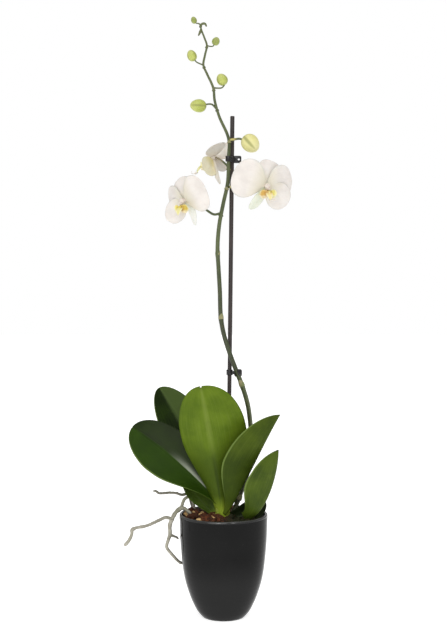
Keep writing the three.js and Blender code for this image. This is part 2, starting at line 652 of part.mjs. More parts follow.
// A moulded clip: a collar round the stake, a loop round the stem, the bar between them, and two
// rounded ears to squeeze.
function clipSolid({ level, stem, stemAxis, stemRadius, ear, open, earHole }) {
  const stakeCentre = stakeAt(level);
  const stemCentre = vec(stem);
  const sleeve = (centre, axis, radius) => {
    const half = axis.clone().normalize().multiplyScalar(CLIP_HEIGHT / 2);
    const outer = radius + GAP + CLIP_WALL;
    const ends = [centre.clone().sub(half), centre.clone().add(half)];
    return tube(ends.map((end) => end.toArray()), [outer, outer], 14, 1);
  };
  const between = stemCentre.clone().sub(stakeCentre);
  const bar = new THREE.BoxGeometry(between.length(), CLIP_BAR, CLIP_HEIGHT * 0.6);
  bar.rotateZ(Math.atan2(between.y, between.x));
  bar.translate(...stakeCentre.clone().add(stemCentre).multiplyScalar(0.5).toArray());
  const outline = new THREE.Shape();
  const [left, right, depth] = ear;
  outline.moveTo(left, -EAR_HEIGHT / 2);
  outline.lineTo(right - EAR_CORNER, -EAR_HEIGHT / 2);
  outline.absarc(right - EAR_CORNER, -EAR_HEIGHT / 2 + EAR_CORNER, EAR_CORNER, -Math.PI / 2, 0, false);
  outline.absarc(right - EAR_CORNER, EAR_HEIGHT / 2 - EAR_CORNER, EAR_CORNER, 0, Math.PI / 2, false);
  outline.lineTo(left, EAR_HEIGHT / 2);
  if (earHole) outline.holes.push(new THREE.Path().absarc(right - 3.8, 0, earHole, 0, Math.PI * 2, true));
  const ears = [-1, 1].map((side) => {
    const shape = { depth: CLIP_WALL, bevelEnabled: false, curveSegments: 4 };
    const plate = new THREE.ExtrudeGeometry(outline, shape);
    plate.translate(0, 0, -CLIP_WALL / 2);
    plate.rotateX(Math.PI / 2);
    plate.translate(0, depth + side * EAR_SPREAD, level);
    return toSolid(plate);
  });
  const root = new THREE.BoxGeometry(4, 2 * EAR_SPREAD + CLIP_WALL, CLIP_HEIGHT * 0.6);
  root.translate(left + 1.6, depth, level);
  const clip = join([
    sleeve(stakeCentre, new THREE.Vector3(0, 0, 1), STAKE_RADIUS),
    sleeve(stemCentre, vec(stemAxis), stemRadius),
    toSolid(bar), toSolid(root), ...ears,
  ]);
  if (!open) return clip;
  const mouth = new THREE.BoxGeometry(open, 8, 4 * CLIP_HEIGHT);
  mouth.translate(stemCentre.x - 1, stemCentre.y - 4, stemCentre.z);
  return clip.subtract(toSolid(mouth));
}

// ------------------------------------------------------------------ materials and assembly

const plant = new THREE.Group();

function addPiece(name, solid, color, roughness) {
  const material = new THREE.MeshStandardMaterial({ color, roughness, metalness: 0 });
  const mesh = new THREE.Mesh(toGeometry(solid), material);
  mesh.name = name;
  plant.add(mesh);
}

const spike = spikeSolid(0);
const spikeRoom = spikeSolid(GAP);
const stake = stakeSolid(0);
const stakeRoom = stakeSolid(GAP);
const crown = tube(CROWN_PATH, CROWN_RADII, 10, 6);
const crownRoom = tube(CROWN_PATH, CROWN_RADII.map((radius) => radius + GAP), 10, 6);
const rootsHanging = rootSolid(ROOTS_HANGING, 0);
const rootUpper = cut(rootSolid(ROOT_UPPER, 0), [rootSolid(ROOTS_HANGING, GAP)]);

addPiece('pot', potSolid(), 0x262729, 0.22);
addPiece('grow_pot', growPotSolid(), 0x3a3c3a, 0.35);
addPiece('crown', cut(crown, [spikeRoom]), 0x9aa83a, 0.5);
addPiece('spike', spike, 0x5f7a3c, 0.5);
addPiece('stake', stake, 0x4b3c3a, 0.55);
addPiece('roots_hanging', rootsHanging, 0xb3aa90, 0.8);
addPiece('root_upper', largest(rootUpper), 0x8f8a78, 0.8);

const leafRooms = [];
for (const [name, leaf] of Object.entries(LEAVES)) {
  const room = [crownRoom, spikeRoom, stakeRoom, ...leafRooms];
  const color = name === 'leaf_front' ? 0x5c7a1e : 0x33501a;
  addPiece(name, largest(cut(leafSolid(leaf, 0), room)), color, 0.4);
  leafRooms.push(leafSolid(leaf, GAP));
}

addPiece('bark', barkSolid([
  crownRoom, spikeRoom, stakeRoom, rootSolid(ROOTS_HANGING, GAP), rootSolid(ROOT_UPPER, GAP), ...leafRooms,
]), 0x6b3a22, 0.9);

for (const [name, clip] of Object.entries(CLIPS)) {
  addPiece(name, largest(cut(clipSolid(clip), [spikeRoom, stakeRoom])), 0x1d1b1c, 0.35);
}

for (const [name, bud] of Object.entries(BUDS)) {
  const color = name === 'bud_f' ? 0xe3dd9a : 0xb5c55a;
  addPiece(name, largest(cut(budSolid(bud), [spikeRoom])), color, 0.5);
}

for (const [name, place] of Object.entries(BLOOMS)) {
  const bloom = largest(cut(bloomSolid(place, 0), [spikeRoom]));
  const lip = largest(cut(lipSolid(place), [bloomSolid(place, GAP), spikeRoom]));
  addPiece(`bloom_${name}`, bloom, 0xf1ece4, 0.55);
  addPiece(`lip_${name}`, lip, 0xe2b43c, 0.5);
}

export default plant;
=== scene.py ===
# %% [markdown]
# # A potted moth orchid
# A glossy dark pot holds bark, broad leathery leaves and grey aerial roots. One flower spike
# rises beside a thin stake, held by two clips, with three white blooms and six buds at its top.
# The measured model comes first, because it fixes where every piece is. Each piece here is then
# a finer copy of one measured piece, kept in the same place and given the finish of the real
# thing.

# %% Load the measured model
import math
import random

import bpy
from mathutils import Matrix, Quaternion, Vector


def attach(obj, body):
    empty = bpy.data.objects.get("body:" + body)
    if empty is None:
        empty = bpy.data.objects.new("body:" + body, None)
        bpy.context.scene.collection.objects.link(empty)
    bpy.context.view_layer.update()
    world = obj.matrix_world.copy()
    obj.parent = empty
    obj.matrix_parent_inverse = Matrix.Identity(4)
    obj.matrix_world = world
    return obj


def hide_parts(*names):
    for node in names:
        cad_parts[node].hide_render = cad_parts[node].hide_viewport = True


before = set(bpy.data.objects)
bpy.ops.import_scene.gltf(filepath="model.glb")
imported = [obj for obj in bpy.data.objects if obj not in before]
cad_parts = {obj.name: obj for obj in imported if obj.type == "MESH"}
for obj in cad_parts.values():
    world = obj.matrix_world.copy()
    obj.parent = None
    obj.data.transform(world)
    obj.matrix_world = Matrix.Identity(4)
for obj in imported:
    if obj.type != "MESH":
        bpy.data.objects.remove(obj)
bpy.ops.object.select_all(action="DESELECT")
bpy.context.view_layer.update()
MM = 0.001

# %% [markdown]
# ## The camera
# The photograph was taken from a little above the middle of the plant with a long lens, so lines
# stay nearly parallel. The camera stands 1.7 m in front of the pot, looks slightly down, and has
# no shift. The long side of the picture is upright, so the lens is given for the upright side.
# Light is turned into picture tones straight, so that a white studio ground comes out white.

# %% Camera
CAMERA_PLACE = Vector((0.0, -1.7, 0.5))
CAMERA_AIM = Vector((0.0, 0.0, 0.4395))
bpy.ops.object.camera_add(location=CAMERA_PLACE)
camera = bpy.context.object
camera.name = "view_camera"
camera.rotation_euler = (CAMERA_AIM - CAMERA_PLACE).to_track_quat("-Z", "Y").to_euler()
camera.data.sensor_fit = "VERTICAL"
camera.data.sensor_height = 36.0
camera.data.lens = 64.05
bpy.context.scene.camera = camera
bpy.context.scene.view_settings.view_transform = "Standard"
print("camera at", tuple(CAMERA_PLACE))

# %% [markdown]
# ## Writing a finish as sums
# Blender keeps a finish as a net of small boxes. Wiring them one by one hides what is meant, so
# a `Wire` stands for one output and understands plus, minus and times. `Finish` adds any other
# box with one method, lays coats of colour one over another and sets the sockets of the surface
# shader.

# %% Wires
class Wire:
    def __init__(self, finish, socket):
        self.finish = finish
        self.socket = socket

    def worked(self, operation, first, second=None):
        inputs = {0: first} if second is None else {0: first, 1: second}
        return self.finish.node("ShaderNodeMath", {"operation": operation}, inputs)

    def __abs__(self):
        return self.worked("ABSOLUTE", self)

    def larger(self, other):
        return self.worked("MAXIMUM", self, other)

    def wave(self):
        return self.worked("SINE", self)

    def ramp(self, start, end, low=0.0, high=1.0):
        """0 to 1 with soft ends while this value goes from start to end."""
        return self.finish.node("ShaderNodeMapRange", {"interpolation_type": "SMOOTHSTEP"},
                                {0: self, 1: start, 2: end, 3: low, 4: high})

    def split(self):
        """The three numbers of a vector."""
        box = self.finish.node("ShaderNodeSeparateXYZ", inputs={0: self}).socket.node
        return [Wire(self.finish, socket) for socket in box.outputs]


for sign, operation in (("add", "ADD"), ("sub", "SUBTRACT"), ("mul", "MULTIPLY")):
    setattr(Wire, f"__{sign}__",
            lambda self, other, kind=operation: self.worked(kind, self, other))
    setattr(Wire, f"__r{sign}__",
            lambda self, other, kind=operation: self.worked(kind, other, self))


def tint(red, green, blue):
    """A colour as the eye reads it in a picture, 0 to 255, turned to the light it sends out."""
    straight = [((c / 255 + 0.055) / 1.055) ** 2.4 if c > 10 else c / 255 / 12.92
                for c in (red, green, blue)]
    return (*straight, 1.0)


print("a finish can now be written as a sum")

# %% Finishes
class Finish:
    def __init__(self, name):
        self.material = bpy.data.materials.new(name)
        self.material.use_nodes = True
        self.tree = self.material.node_tree
        self.shader = self.tree.nodes["Principled BSDF"]
        self.place = self.node("ShaderNodeTexCoord", output="Object")
        self.colour = None

    def plug(self, socket, value):
        if isinstance(value, Wire):
            self.tree.links.new(value.socket, socket)
        else:
            socket.default_value = value

    def node(self, kind, settings=None, inputs=None, output=0):
        """Any box: its settings first, then the values or wires of its sockets."""
        made = self.tree.nodes.new(kind)
        for key, value in (settings or {}).items():
            setattr(made, key, value)
        for key, value in (inputs or {}).items():
            self.plug(made.inputs[key], value)
        return Wire(self, made.outputs[output])

    def chart(self):
        """On a blade: a number from -1 to 1 across it, and one from 0 to 1 from root to tip."""
        across, along, _ = self.node("ShaderNodeTexCoord", output="UV").split()
        return across * 2.0 - 1.0, along

    def mark(self, name):
        """A number that the piece carries at each corner."""
        return self.node("ShaderNodeAttribute", {"attribute_name": name}, output=2)

    def grain(self, scale, detail=3.0, roughness=0.5, distortion=0.0, vector=None):
        """Soft cloudy noise round 0.5, on the piece's own coordinates in metres."""
        return self.node("ShaderNodeTexNoise", inputs={
            "Vector": vector or self.place, "Scale": scale, "Detail": detail,
            "Roughness": roughness, "Distortion": distortion})

    def lines(self, scales, detail, roughness=0.5, distortion=0.0):
        """Noise drawn out into lines, by a scale for each direction."""
        drawn = self.node("ShaderNodeMapping", inputs={0: self.place, 3: scales})
        return self.grain(1.0, detail, roughness, distortion, drawn)

    def lanes(self, across, along, detail, roughness=0.5, distortion=0.0):
        """Noise drawn out from root to tip of a blade."""
        spot = self.node("ShaderNodeCombineXYZ", inputs={0: across, 1: along})
        return self.grain(1.0, detail, roughness, distortion, spot)

    def raised(self, height, strength, distance, under=None):
        """Small relief that catches the light without changing the shape."""
        inputs = {"Height": height, "Strength": strength, "Distance": distance}
        if under:
            inputs["Normal"] = under
        return self.node("ShaderNodeBump", inputs=inputs)

    def ground(self, share, first, second):
        """The first coat: one colour that clouds into another."""
        self.colour = tint(*first)
        self.coat(share, second)

    def coat(self, share, colour):
        """Lay a colour over the coats below, by a share of 0 to 1."""
        self.colour = self.node("ShaderNodeMix", {"data_type": "RGBA"},
                                {0: share, 6: self.colour, 7: tint(*colour)}, 2)

    def set(self, **sockets):
        for name, value in sockets.items():
            self.plug(self.shader.inputs[name.replace("_", " ")], value)
        return self.material

    def surface(self, clouds, smoothest, roughest, **sockets):
        """The coats of colour, with a roughness that drifts with the clouds."""
        roughness = clouds.ramp(0.2, 0.8, smoothest, roughest)
        return self.set(Base_Color=self.colour, Roughness=roughness, **sockets)


print("a finish can now be laid on in coats")

# %% [markdown]
# ## Making shapes
# Three kinds of shape come up again and again. Turned ones, such as the pot, grow from a circle
# that is extruded ring by ring. Stems, roots and the stake are curves with a round section,
# turned into a mesh. Leaves and petals start as a flat grid that a formula bends, and get their
# thickness from a modifier, with one finish above and another below.

# %% Shape helpers
def coated(piece, *materials):
    """Give a piece its finishes; a single one goes on every face."""
    slots = piece.data.materials
    if len(materials) == 1:
        slots.clear()
    for number, material in enumerate(materials):
        if number < len(slots):
            slots[number] = material
        else:
            slots.append(material)
    return piece


def finished(piece, name, slot, *nodes):
    """Name a coated piece, hang it on the root body and hide the measured pieces it stands for."""
    piece.name = name
    piece.data.name = name
    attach(piece, "root")
    if nodes:
        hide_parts(*nodes)
    piece.select_set(False)
    print(name, len(piece.data.polygons), "faces")
    return piece


def applied(piece, kind, **settings):
    """Add a modifier, set it and apply it."""
    bpy.context.view_layer.objects.active = piece
    bpy.ops.object.modifier_add(type=kind)
    modifier = piece.modifiers[-1]
    for key, value in settings.items():
        setattr(modifier, key, value)
    bpy.ops.object.modifier_apply(modifier=modifier.name)


def joined(pieces):
    """Several objects as one."""
    bpy.ops.object.select_all(action="DESELECT")
    for piece in pieces:
        piece.select_set(True)
    bpy.context.view_layer.objects.active = pieces[0]
    if len(pieces) > 1:
        bpy.ops.object.join()
    whole = bpy.context.object
    bpy.ops.object.select_all(action="DESELECT")
    return whole


def smooth_faces(piece):
    piece.data.polygons.foreach_set("use_smooth", [True] * len(piece.data.polygons))
    piece.data.update()


def marked(piece, name, values):
    """Write a number at each corner, for the finish to read."""
    piece.data.attributes.new(name, "FLOAT", "POINT").data.foreach_set("value", values)


print("shape helpers ready")

# %% Edit mode
def editing(on, kind="EDGE"):
    """Enter edit mode, to choose edges or faces, or leave it."""
    bpy.ops.object.mode_set(mode="EDIT" if on else "OBJECT")
    if on:
        bpy.ops.mesh.select_mode(type=kind)


def edit_only(piece, kind, wanted):
    """Enter edit mode with only those edges or faces selected that `wanted` picks."""
    editing(True, kind)
    bpy.ops.mesh.select_all(action="DESELECT")
    editing(False)
    for item in piece.data.edges if kind == "EDGE" else piece.data.polygons:
        item.select = wanted(item)
    editing(True, kind)


print("edit mode helpers ready")

# %% Turned shapes and balls
def turned(profile, sides):
    """A body turned about +Z. The profile, in mm, starts at the foot and ends inside."""
    (radius, height), *rest = profile
    bpy.ops.mesh.primitive_circle_add(vertices=sides, radius=radius * MM, fill_type="NGON",
                                      location=(0, 0, height * MM))
    piece = bpy.context.object
    bpy.ops.object.transform_apply(location=True)
    editing(True)
    bpy.ops.mesh.select_all(action="SELECT")
    bpy.ops.mesh.region_to_loop()
    for new_radius, new_height in rest:
        bpy.ops.mesh.extrude_edges_move(
            TRANSFORM_OT_translate={"value": (0, 0, (new_height - height) * MM)})
        share = new_radius / radius
        bpy.ops.transform.resize(value=(share, share, 1), center_override=(0, 0, 0))
        radius, height = new_radius, new_height
    bpy.ops.mesh.edge_face_add()
    bpy.ops.mesh.select_all(action="SELECT")
    bpy.ops.mesh.normals_make_consistent(inside=False)
    editing(False)
    smooth_faces(piece)
    return piece


def ball(segments, rings, shaping):
    """A small ball of radius 1 mm, stretched, turned and placed by a matrix."""
    bpy.ops.mesh.primitive_uv_sphere_add(segments=segments, ring_count=rings, radius=1)
    piece = bpy.context.object
    piece.data.transform(Matrix.Scale(MM, 4) @ shaping)
    smooth_faces(piece)
    return piece


print("turned shapes ready")

# %% Soft curves
def mixed(start, end, share):
    return start + (end - start) * share


def eased(share):
    return share * share * (3 - 2 * share)


def between(values, share):
    """The value at a share of the way along a list."""
    place = min(max(share, 0.0), 1.0) * (len(values) - 1)
    before = min(int(place), len(values) - 2)
    return mixed(values[before], values[before + 1], place - before)


def spaced(values, steps):
    """Values at even steps along a list."""
    return [between(values, k / steps) for k in range(steps + 1)]


def smooth_route(points, count):
    """Even steps along a soft curve through points in mm, the same curve as the measured stems."""
    marks = [Vector(point) for point in points]
    marks = [2 * marks[0] - marks[1], *marks, 2 * marks[-1] - marks[-2]]
    dense = []
    for k in range(1, len(marks) - 2):
        before, start, end, after = marks[k - 1:k + 3]
        steps = [math.sqrt((b - a).length)
                 for a, b in ((before, start), (start, end), (end, after))]
        leave = ((start - before) / steps[0] - (end - before) / (steps[0] + steps[1])
                 + (end - start) / steps[1]) * steps[1]
        arrive = ((end - start) / steps[1] - (after - start) / (steps[1] + steps[2])
                  + (after - end) / steps[2]) * steps[1]
        for step in range(24):
            t = step / 24
            dense.append(start + leave * t + (3 * (end - start) - 2 * leave - arrive) * t * t
                         + (2 * (start - end) + leave + arrive) * t ** 3)
    dense.append(marks[-2])
    lengths = [0.0]
    for a, b in zip(dense, dense[1:]):
        lengths.append(lengths[-1] + (b - a).length)
    route = []
    at = 0
    for step in range(count + 1):
        wanted = lengths[-1] * step / count
        while at < len(lengths) - 2 and lengths[at + 1] < wanted:
            at += 1
        share = (wanted - lengths[at]) / max(lengths[at + 1] - lengths[at], 1e-9)
        route.append(dense[at].lerp(dense[at + 1], min(share, 1.0)))
    return route


print("soft curves ready")

# %% Strands and blades
def strand(route, radii, roundness=3):
    """A round stem along a route in mm, with a radius in mm at each of its points."""
    bpy.ops.curve.primitive_nurbs_path_add(location=(0, 0, 0))
    piece = bpy.context.object
    curve = piece.data
    curve.splines.clear()
    spline = curve.splines.new("POLY")
    spline.points.add(len(route) - 1)
    for point, place, radius in zip(spline.points, route, radii):
        point.co = (*(place * MM), 1.0)
        point.radius = radius
    curve.bevel_depth = MM
    curve.bevel_resolution = roundness
    curve.use_fill_caps = True
    bpy.ops.object.convert(target="MESH")
    smooth_faces(piece)
    return piece


def tapered(points, radii, steps, roundness, end=1.0, place=Matrix()):
    """A strand along a soft curve, its radii spread evenly and its end drawn in."""
    widths = spaced(radii, steps)
    widths[-1] *= end
    return strand([place @ point for point in smooth_route(points, steps)], widths, roundness)


def blade(surface, rows, columns, thickness, fullness):
    """A thin blade: surface(u, v) in mm, u from root to tip and v from -1 to 1 across. Its
    thickness, in mm, is taken times fullness(u, v)."""
    bpy.ops.mesh.primitive_grid_add(x_subdivisions=columns, y_subdivisions=rows, size=2,
                                    calc_uvs=True, location=(0, 0, 0))
    piece = bpy.context.object
    group = piece.vertex_groups.new(name="fullness")
    for vertex in piece.data.vertices:
        u = (vertex.co.y + 1) / 2
        v = vertex.co.x
        vertex.co = surface(u, v) * MM
        group.add([vertex.index], fullness(u, v), "REPLACE")
    piece.data.materials.append(None)
    piece.data.materials.append(None)
    applied(piece, "SOLIDIFY", thickness=thickness * MM, offset=0, use_rim=True, material_offset=1,
            material_offset_rim=1, vertex_group="fullness", thickness_vertex_group=0.0)
    smooth_faces(piece)
    return piece


print("strands and blades ready")

# %% [markdown]
# ## Floor and light
# The photograph is a bright studio picture on a white ground, lit softly from the front and from
# above. Two broad suns give that light, the same at the pot as at the top bud, which a lamp
# close by would not. Two narrow ones, left and right, draw the small bright spots on glaze and
# leaves. Dark glaze shows what stands round it, so the room itself is dim, and only the camera
# sees it as white. The floor glows a little by itself, so that it comes out as white as the
# picture's ground.

# %% Floor
FLOOR_RADIUS = 9.0
WHITE = (1, 1, 1, 1)
bpy.ops.mesh.primitive_circle_add(vertices=96, radius=FLOOR_RADIUS, fill_type="NGON",
                                  location=(0, 0, 0))
floor = bpy.context.object
floor.name = "floor"
floor_paint = Finish("floor_paint").set(
    Base_Color=tint(206, 206, 205), Roughness=0.8, Specular_IOR_Level=0.1,
    Emission_Color=WHITE, Emission_Strength=0.75)
floor.data.materials.append(floor_paint)
floor.select_set(False)
print("floor ready")

# %% Room
ROOM_STRENGTH = 0.46
world = bpy.data.worlds.new("studio")
world.use_nodes = True
bpy.context.scene.world = world
sky = world.node_tree
choice = sky.nodes.new("ShaderNodeMixShader")
lights_room = sky.nodes["Background"]
seen_room = sky.nodes.new("ShaderNodeBackground")
for number, (room, strength) in enumerate(((lights_room, ROOM_STRENGTH), (seen_room, 1.0))):
    room.inputs["Color"].default_value = WHITE
    room.inputs["Strength"].default_value = strength
    sky.links.new(room.outputs[0], choice.inputs[number + 1])
ray = sky.nodes.new("ShaderNodeLightPath")
sky.links.new(ray.outputs["Is Camera Ray"], choice.inputs[0])
sky.links.new(choice.outputs[0], sky.nodes["World Output"].inputs["Surface"])
print("room ready")

# %% Lights
LIGHT_AIM = Vector((0, 0, 0.3))
for name, place, strength, spread in (
        ("light_front", (-0.7, -2.3, 1.5), 0.9, 50), ("light_top", (0.4, -0.2, 2.6), 0.85, 60),
        ("light_left", (-0.5, -2.0, 1.6), 0.25, 12), ("light_right", (1.0, -1.9, 1.6), 0.25, 12)):
    bpy.ops.object.light_add(type="SUN", location=place)
    lamp = bpy.context.object
    lamp.name = name
    lamp.rotation_euler = (LIGHT_AIM - Vector(place)).to_track_quat("-Z", "Y").to_euler()
    lamp.data.energy = strength
    lamp.data.angle = math.radians(spread)
    lamp.select_set(False)
    print(name, strength, "spread over", spread, "degrees")

# %% [markdown]
# ## The pot
# A turned cover pot of glazed ceramic: a narrow foot, a rounded belly and an almost straight
# wall up to a thin rounded lip. It is one circle, extruded ring by ring up the outside, over the
# lip and down the inside, so the wall has its real thickness. The glaze is deep grey, smooth and
# glossy, with faint throwing rings and specks that are only seen where the light grazes it. The
# lower body is painted lighter as a painted reflection of the bright floor, and the lip is painted
# lighter as a painted highlight; a clear coat on the lip takes up the small bright spots.

# %% Glaze
def glaze_finish():
    finish = Finish("pot_glaze")
    height = finish.place.split()[2]
    clouds = finish.grain(18.0, 4.0)
    specks = finish.grain(420.0, 2.0).ramp(0.66, 0.74)
    finish.ground(clouds.ramp(0.3, 0.7), (26, 26, 26), (29, 29, 29))
    # Painted reflection: the lower body is painted lighter, for the bright floor mirrored in it.
    finish.coat(height.ramp(0.1, 0.05), (39, 39, 39))
    finish.coat(specks * 0.12, (74, 72, 70))
    # Painted highlight: the lip is painted lighter, for the light line that runs along it.
    finish.coat(height.ramp(0.1515, 0.1538) * 0.5, (70, 69, 68))
    rings = (height * 900.0 + finish.grain(6.0) * 9.0).wave()
    return finish.surface(
        clouds, 0.08, 0.14, Normal=finish.raised(rings * 0.2 + clouds, 0.06, 0.002),
        Specular_IOR_Level=0.15, IOR=1.25, Coat_Weight=height.ramp(0.1502, 0.1514) * 0.8,
        Coat_Roughness=0.08, Coat_IOR=1.6)


print("glaze ready")

# %% Pot wall
POT_OUTSIDE = [(32, 0), (33.4, 1.6), (37.4, 6), (41, 11.5), (45, 19.4), (49.2, 29), (52.4, 38),
               (56.4, 51), (59.6, 66), (62.3, 87), (64.6, 115), (65.6, 145)]
POT_LIP = [(66, 149.5), (66, 151.4), (65.6, 152.8), (64.9, 153.6), (63.8, 154), (62.8, 153.7),
           (62.1, 152.8), (61.8, 151.4), (61.6, 149)]
POT_WALL = 4.5
FLOOR_CORNER = [(41, 19), (37.6, 13), (33, 11)]
POT_STEPS = 44


def pot_outline():
    """The wall's outline, in mm, softened between its measured rings."""
    outside = smooth_route([(radius, 0, height) for radius, height in POT_OUTSIDE], POT_STEPS)
    inside = [(radius - POT_WALL, height) for radius, height in POT_OUTSIDE[4:-1:2]][::-1]
    return [(point.x, point.z) for point in outside] + POT_LIP + inside + FLOOR_CORNER


finished(coated(turned(pot_outline(), 128), glaze_finish()), "pot_turned", "pot_glaze", "pot")

# %% [markdown]
# ## The nursery pot inside
# The plant still grows in its thin plastic pot, which hides inside the cover pot. Its measured
# shape is right as it is, so it only gets the dull, faintly pebbled finish of moulded plastic.

# %% Nursery plastic
def moulded_finish(name, colour, paler, roughness):
    finish = Finish(name)
    clouds = finish.grain(60.0)
    finish.ground(clouds.ramp(0.35, 0.75), colour, paler)
    return finish.surface(clouds, roughness - 0.05, roughness + 0.08,
                          Normal=finish.raised(finish.grain(900.0, 2.0), 0.12, 0.0004))


nursery_plastic = moulded_finish("nursery_plastic", (40, 42, 40), (58, 60, 57), 0.42)
coated(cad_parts["grow_pot"], nursery_plastic)
print("nursery pot finished")

# %% [markdown]
# ## Bark
# Orchids grow in chips of conifer bark, not in soil. A chip is a flat splintered block: dark,
# ridged and red-brown outside and cream where it broke. A few chips are modelled from a
# cube that is subdivided, bevelled and roughened, then copied over the surface by a seeded rule,
# each turned its own way. Every copy carries a number of its own that shifts its colour; the low
# mound beneath, which closes the gaps, gets the darkest, as painted shade in the gaps. The bark
# is heaped at the left and sunk in front at the right, where it is painted dark green as painted
# shadow under the leaves.

# %% Bark finish
def bark_finish():
    finish = Finish("bark_chip")
    chip = finish.mark("chip")
    coarse = finish.grain(140.0, 5.0, 0.65)
    ridged = finish.lines((420.0, 90.0, 420.0), 5.0, 0.6, 0.6)
    across, depth, _ = finish.place.split()
    finish.ground(coarse.ramp(0.3, 0.7), (44, 22, 12), (96, 52, 28))
    finish.coat(ridged.ramp(0.5, 0.72) * 0.6, (140, 84, 50))
    finish.coat(chip.ramp(0.8, 0.84) * coarse.ramp(0.36, 0.5), (216, 178, 122))
    # Chips with a low number are darker; the mound beneath has the lowest and is painted darkest,
    # as painted shade in the gaps between chips.
    finish.coat(chip.ramp(0.28, 0.08) * 0.55, (36, 20, 13))
    # Painted shadow: the bark in front at the right is painted dark green, as the shadow of the
    # leaves.
    leaf_shadow = across.ramp(-0.006, 0.014) * depth.ramp(0.0, -0.02) * coarse.ramp(0.25, 0.45)
    finish.coat(leaf_shadow * 0.85, (26, 36, 12))
    return finish.surface(coarse, 0.72, 0.92, Specular_IOR_Level=0.25,
                          Normal=finish.raised(ridged + coarse, 0.75, 0.0016))


print("bark finish ready")

# %% Five chips, modelled once
CHIP_SHAPES = 5
CHIP_LENGTH = 0.018
CHIP_SEED = 7
chip_random = random.Random(CHIP_SEED)


def roughened(piece, size, strength):
    """Push the surface about with a procedural cloud."""
    cloud = bpy.data.textures.new("rough_cloud", type="CLOUDS")
    cloud.noise_scale = size
    cloud.noise_depth = 3
    applied(piece, "DISPLACE", texture=cloud, strength=strength, mid_level=0.5,
            texture_coords="LOCAL")


def bark_chip_shape():
    """One chip, lying on the origin."""
    bpy.ops.mesh.primitive_cube_add(size=CHIP_LENGTH)
    chip = bpy.context.object
    editing(True)
    bpy.ops.transform.resize(value=(1, mixed(0.5, 0.75, chip_random.random()),
                                    mixed(0.26, 0.42, chip_random.random())))
    bpy.ops.mesh.subdivide(number_cuts=2, smoothness=0.0, seed=chip_random.randint(1, 90),
                           fractal=0.35, fractal_along_normal=0.2)
    editing(False)
    applied(chip, "BEVEL", width=0.0009, segments=1)
    applied(chip, "SUBSURF", levels=1, render_levels=1)
    roughened(chip, 0.006, 0.0022)
    chip.select_set(False)
    return chip


chip_shapes = [bark_chip_shape() for _ in range(CHIP_SHAPES)]
print("chip shapes:", [len(chip.data.polygons) for chip in chip_shapes])

# %% Chips over a low mound
BARK_LEVEL = 152.5
BARK_REACH = 57.0
BED_DEPTH = 2.4
HEAP = 3.2
HOLLOW = 3.5
RIM_START = 50
CHIP_COUNT = 150
GOLDEN_TURN = 2.39996
BED_OUTLINE = [(34, 146), (56.5, 147.9), (57.5, 148.4), (54, 149.4), (40, 150.4), (20, 150.8)]
# The mound's number lies in the darkest range: painted shade in the gaps between chips.
BED_SHADE_NUMBER = 0.05


def bark_height(x, y):
    """Mean level of the bark in mm: heaped at the left, sunk in front at the right."""
    heap = HEAP * eased(min(1, max(0, -x / 45)))
    sunk = HOLLOW * eased(min(1, max(0, (x - 4) / 16))) * eased(min(1, max(0, -y / 30)))
    return BARK_LEVEL - BED_DEPTH + heap - sunk


print("bark level at the middle:", bark_height(0, 0), "mm")

# %% Laid chips
def laid_chip(k):
    """Copy number k, on a spiral that fills the round evenly, turned its own way."""
    radius = BARK_REACH * math.sqrt((k + 0.5) / CHIP_COUNT)
    angle = GOLDEN_TURN * k + 0.5 * chip_random.random()
    x = radius * math.cos(angle)
    y = radius * math.sin(angle)
    at_rim = radius > RIM_START
    size = mixed(0.5, 1.05, chip_random.random()) * (0.7 if at_rim else 1.0)
    z = bark_height(x, y) + 2.4 * chip_random.random() - (1.2 if at_rim else 0.0)
    source = chip_shapes[k % CHIP_SHAPES]
    chip = source.copy()
    chip.data = source.data.copy()
    bpy.context.collection.objects.link(chip)
    turn = (Matrix.Rotation(2 * math.pi * chip_random.random(), 4, "Z")
            @ Matrix.Rotation(mixed(-0.55, 0.55, chip_random.random()), 4, "X")
            @ Matrix.Rotation(mixed(-0.45, 0.45, chip_random.random()), 4, "Y"))
    chip.data.transform(Matrix.Translation((x * MM, y * MM, z * MM)) @ turn
                        @ Matrix.Scale(size, 4))
    marked(chip, "chip", [chip_random.random()] * len(chip.data.vertices))
    smooth_faces(chip)
    return chip


def bark_mound():
    """The closed bed that the chips lie on."""
    bed = turned(BED_OUTLINE, 64)
    roughened(bed, 0.008, 0.0016)
    marked(bed, "chip", [BED_SHADE_NUMBER] * len(bed.data.vertices))
    return bed


bark = joined([bark_mound(), *(laid_chip(k) for k in range(CHIP_COUNT))])
finished(coated(bark, bark_finish()), "bark_chips", "bark", "bark")
for chip in chip_shapes:
    bpy.data.objects.remove(chip)

# %% [markdown]
# ## Leaves
# Each leaf is a thick strap that is folded along its midrib like a shallow gutter, narrow where
# it clasps the crown and broad toward its round tip. A formula bends a grid to that shape: a
# midrib curve in space, the half-width along it and the fold. The blade is thickest at the
# midrib and thin at its edge. The upper face is deep green and waxy, with a groove for a midrib.
# The underside is paler and duller, and its midrib stands out as a light streak. Fine veins run
# from root to tip.

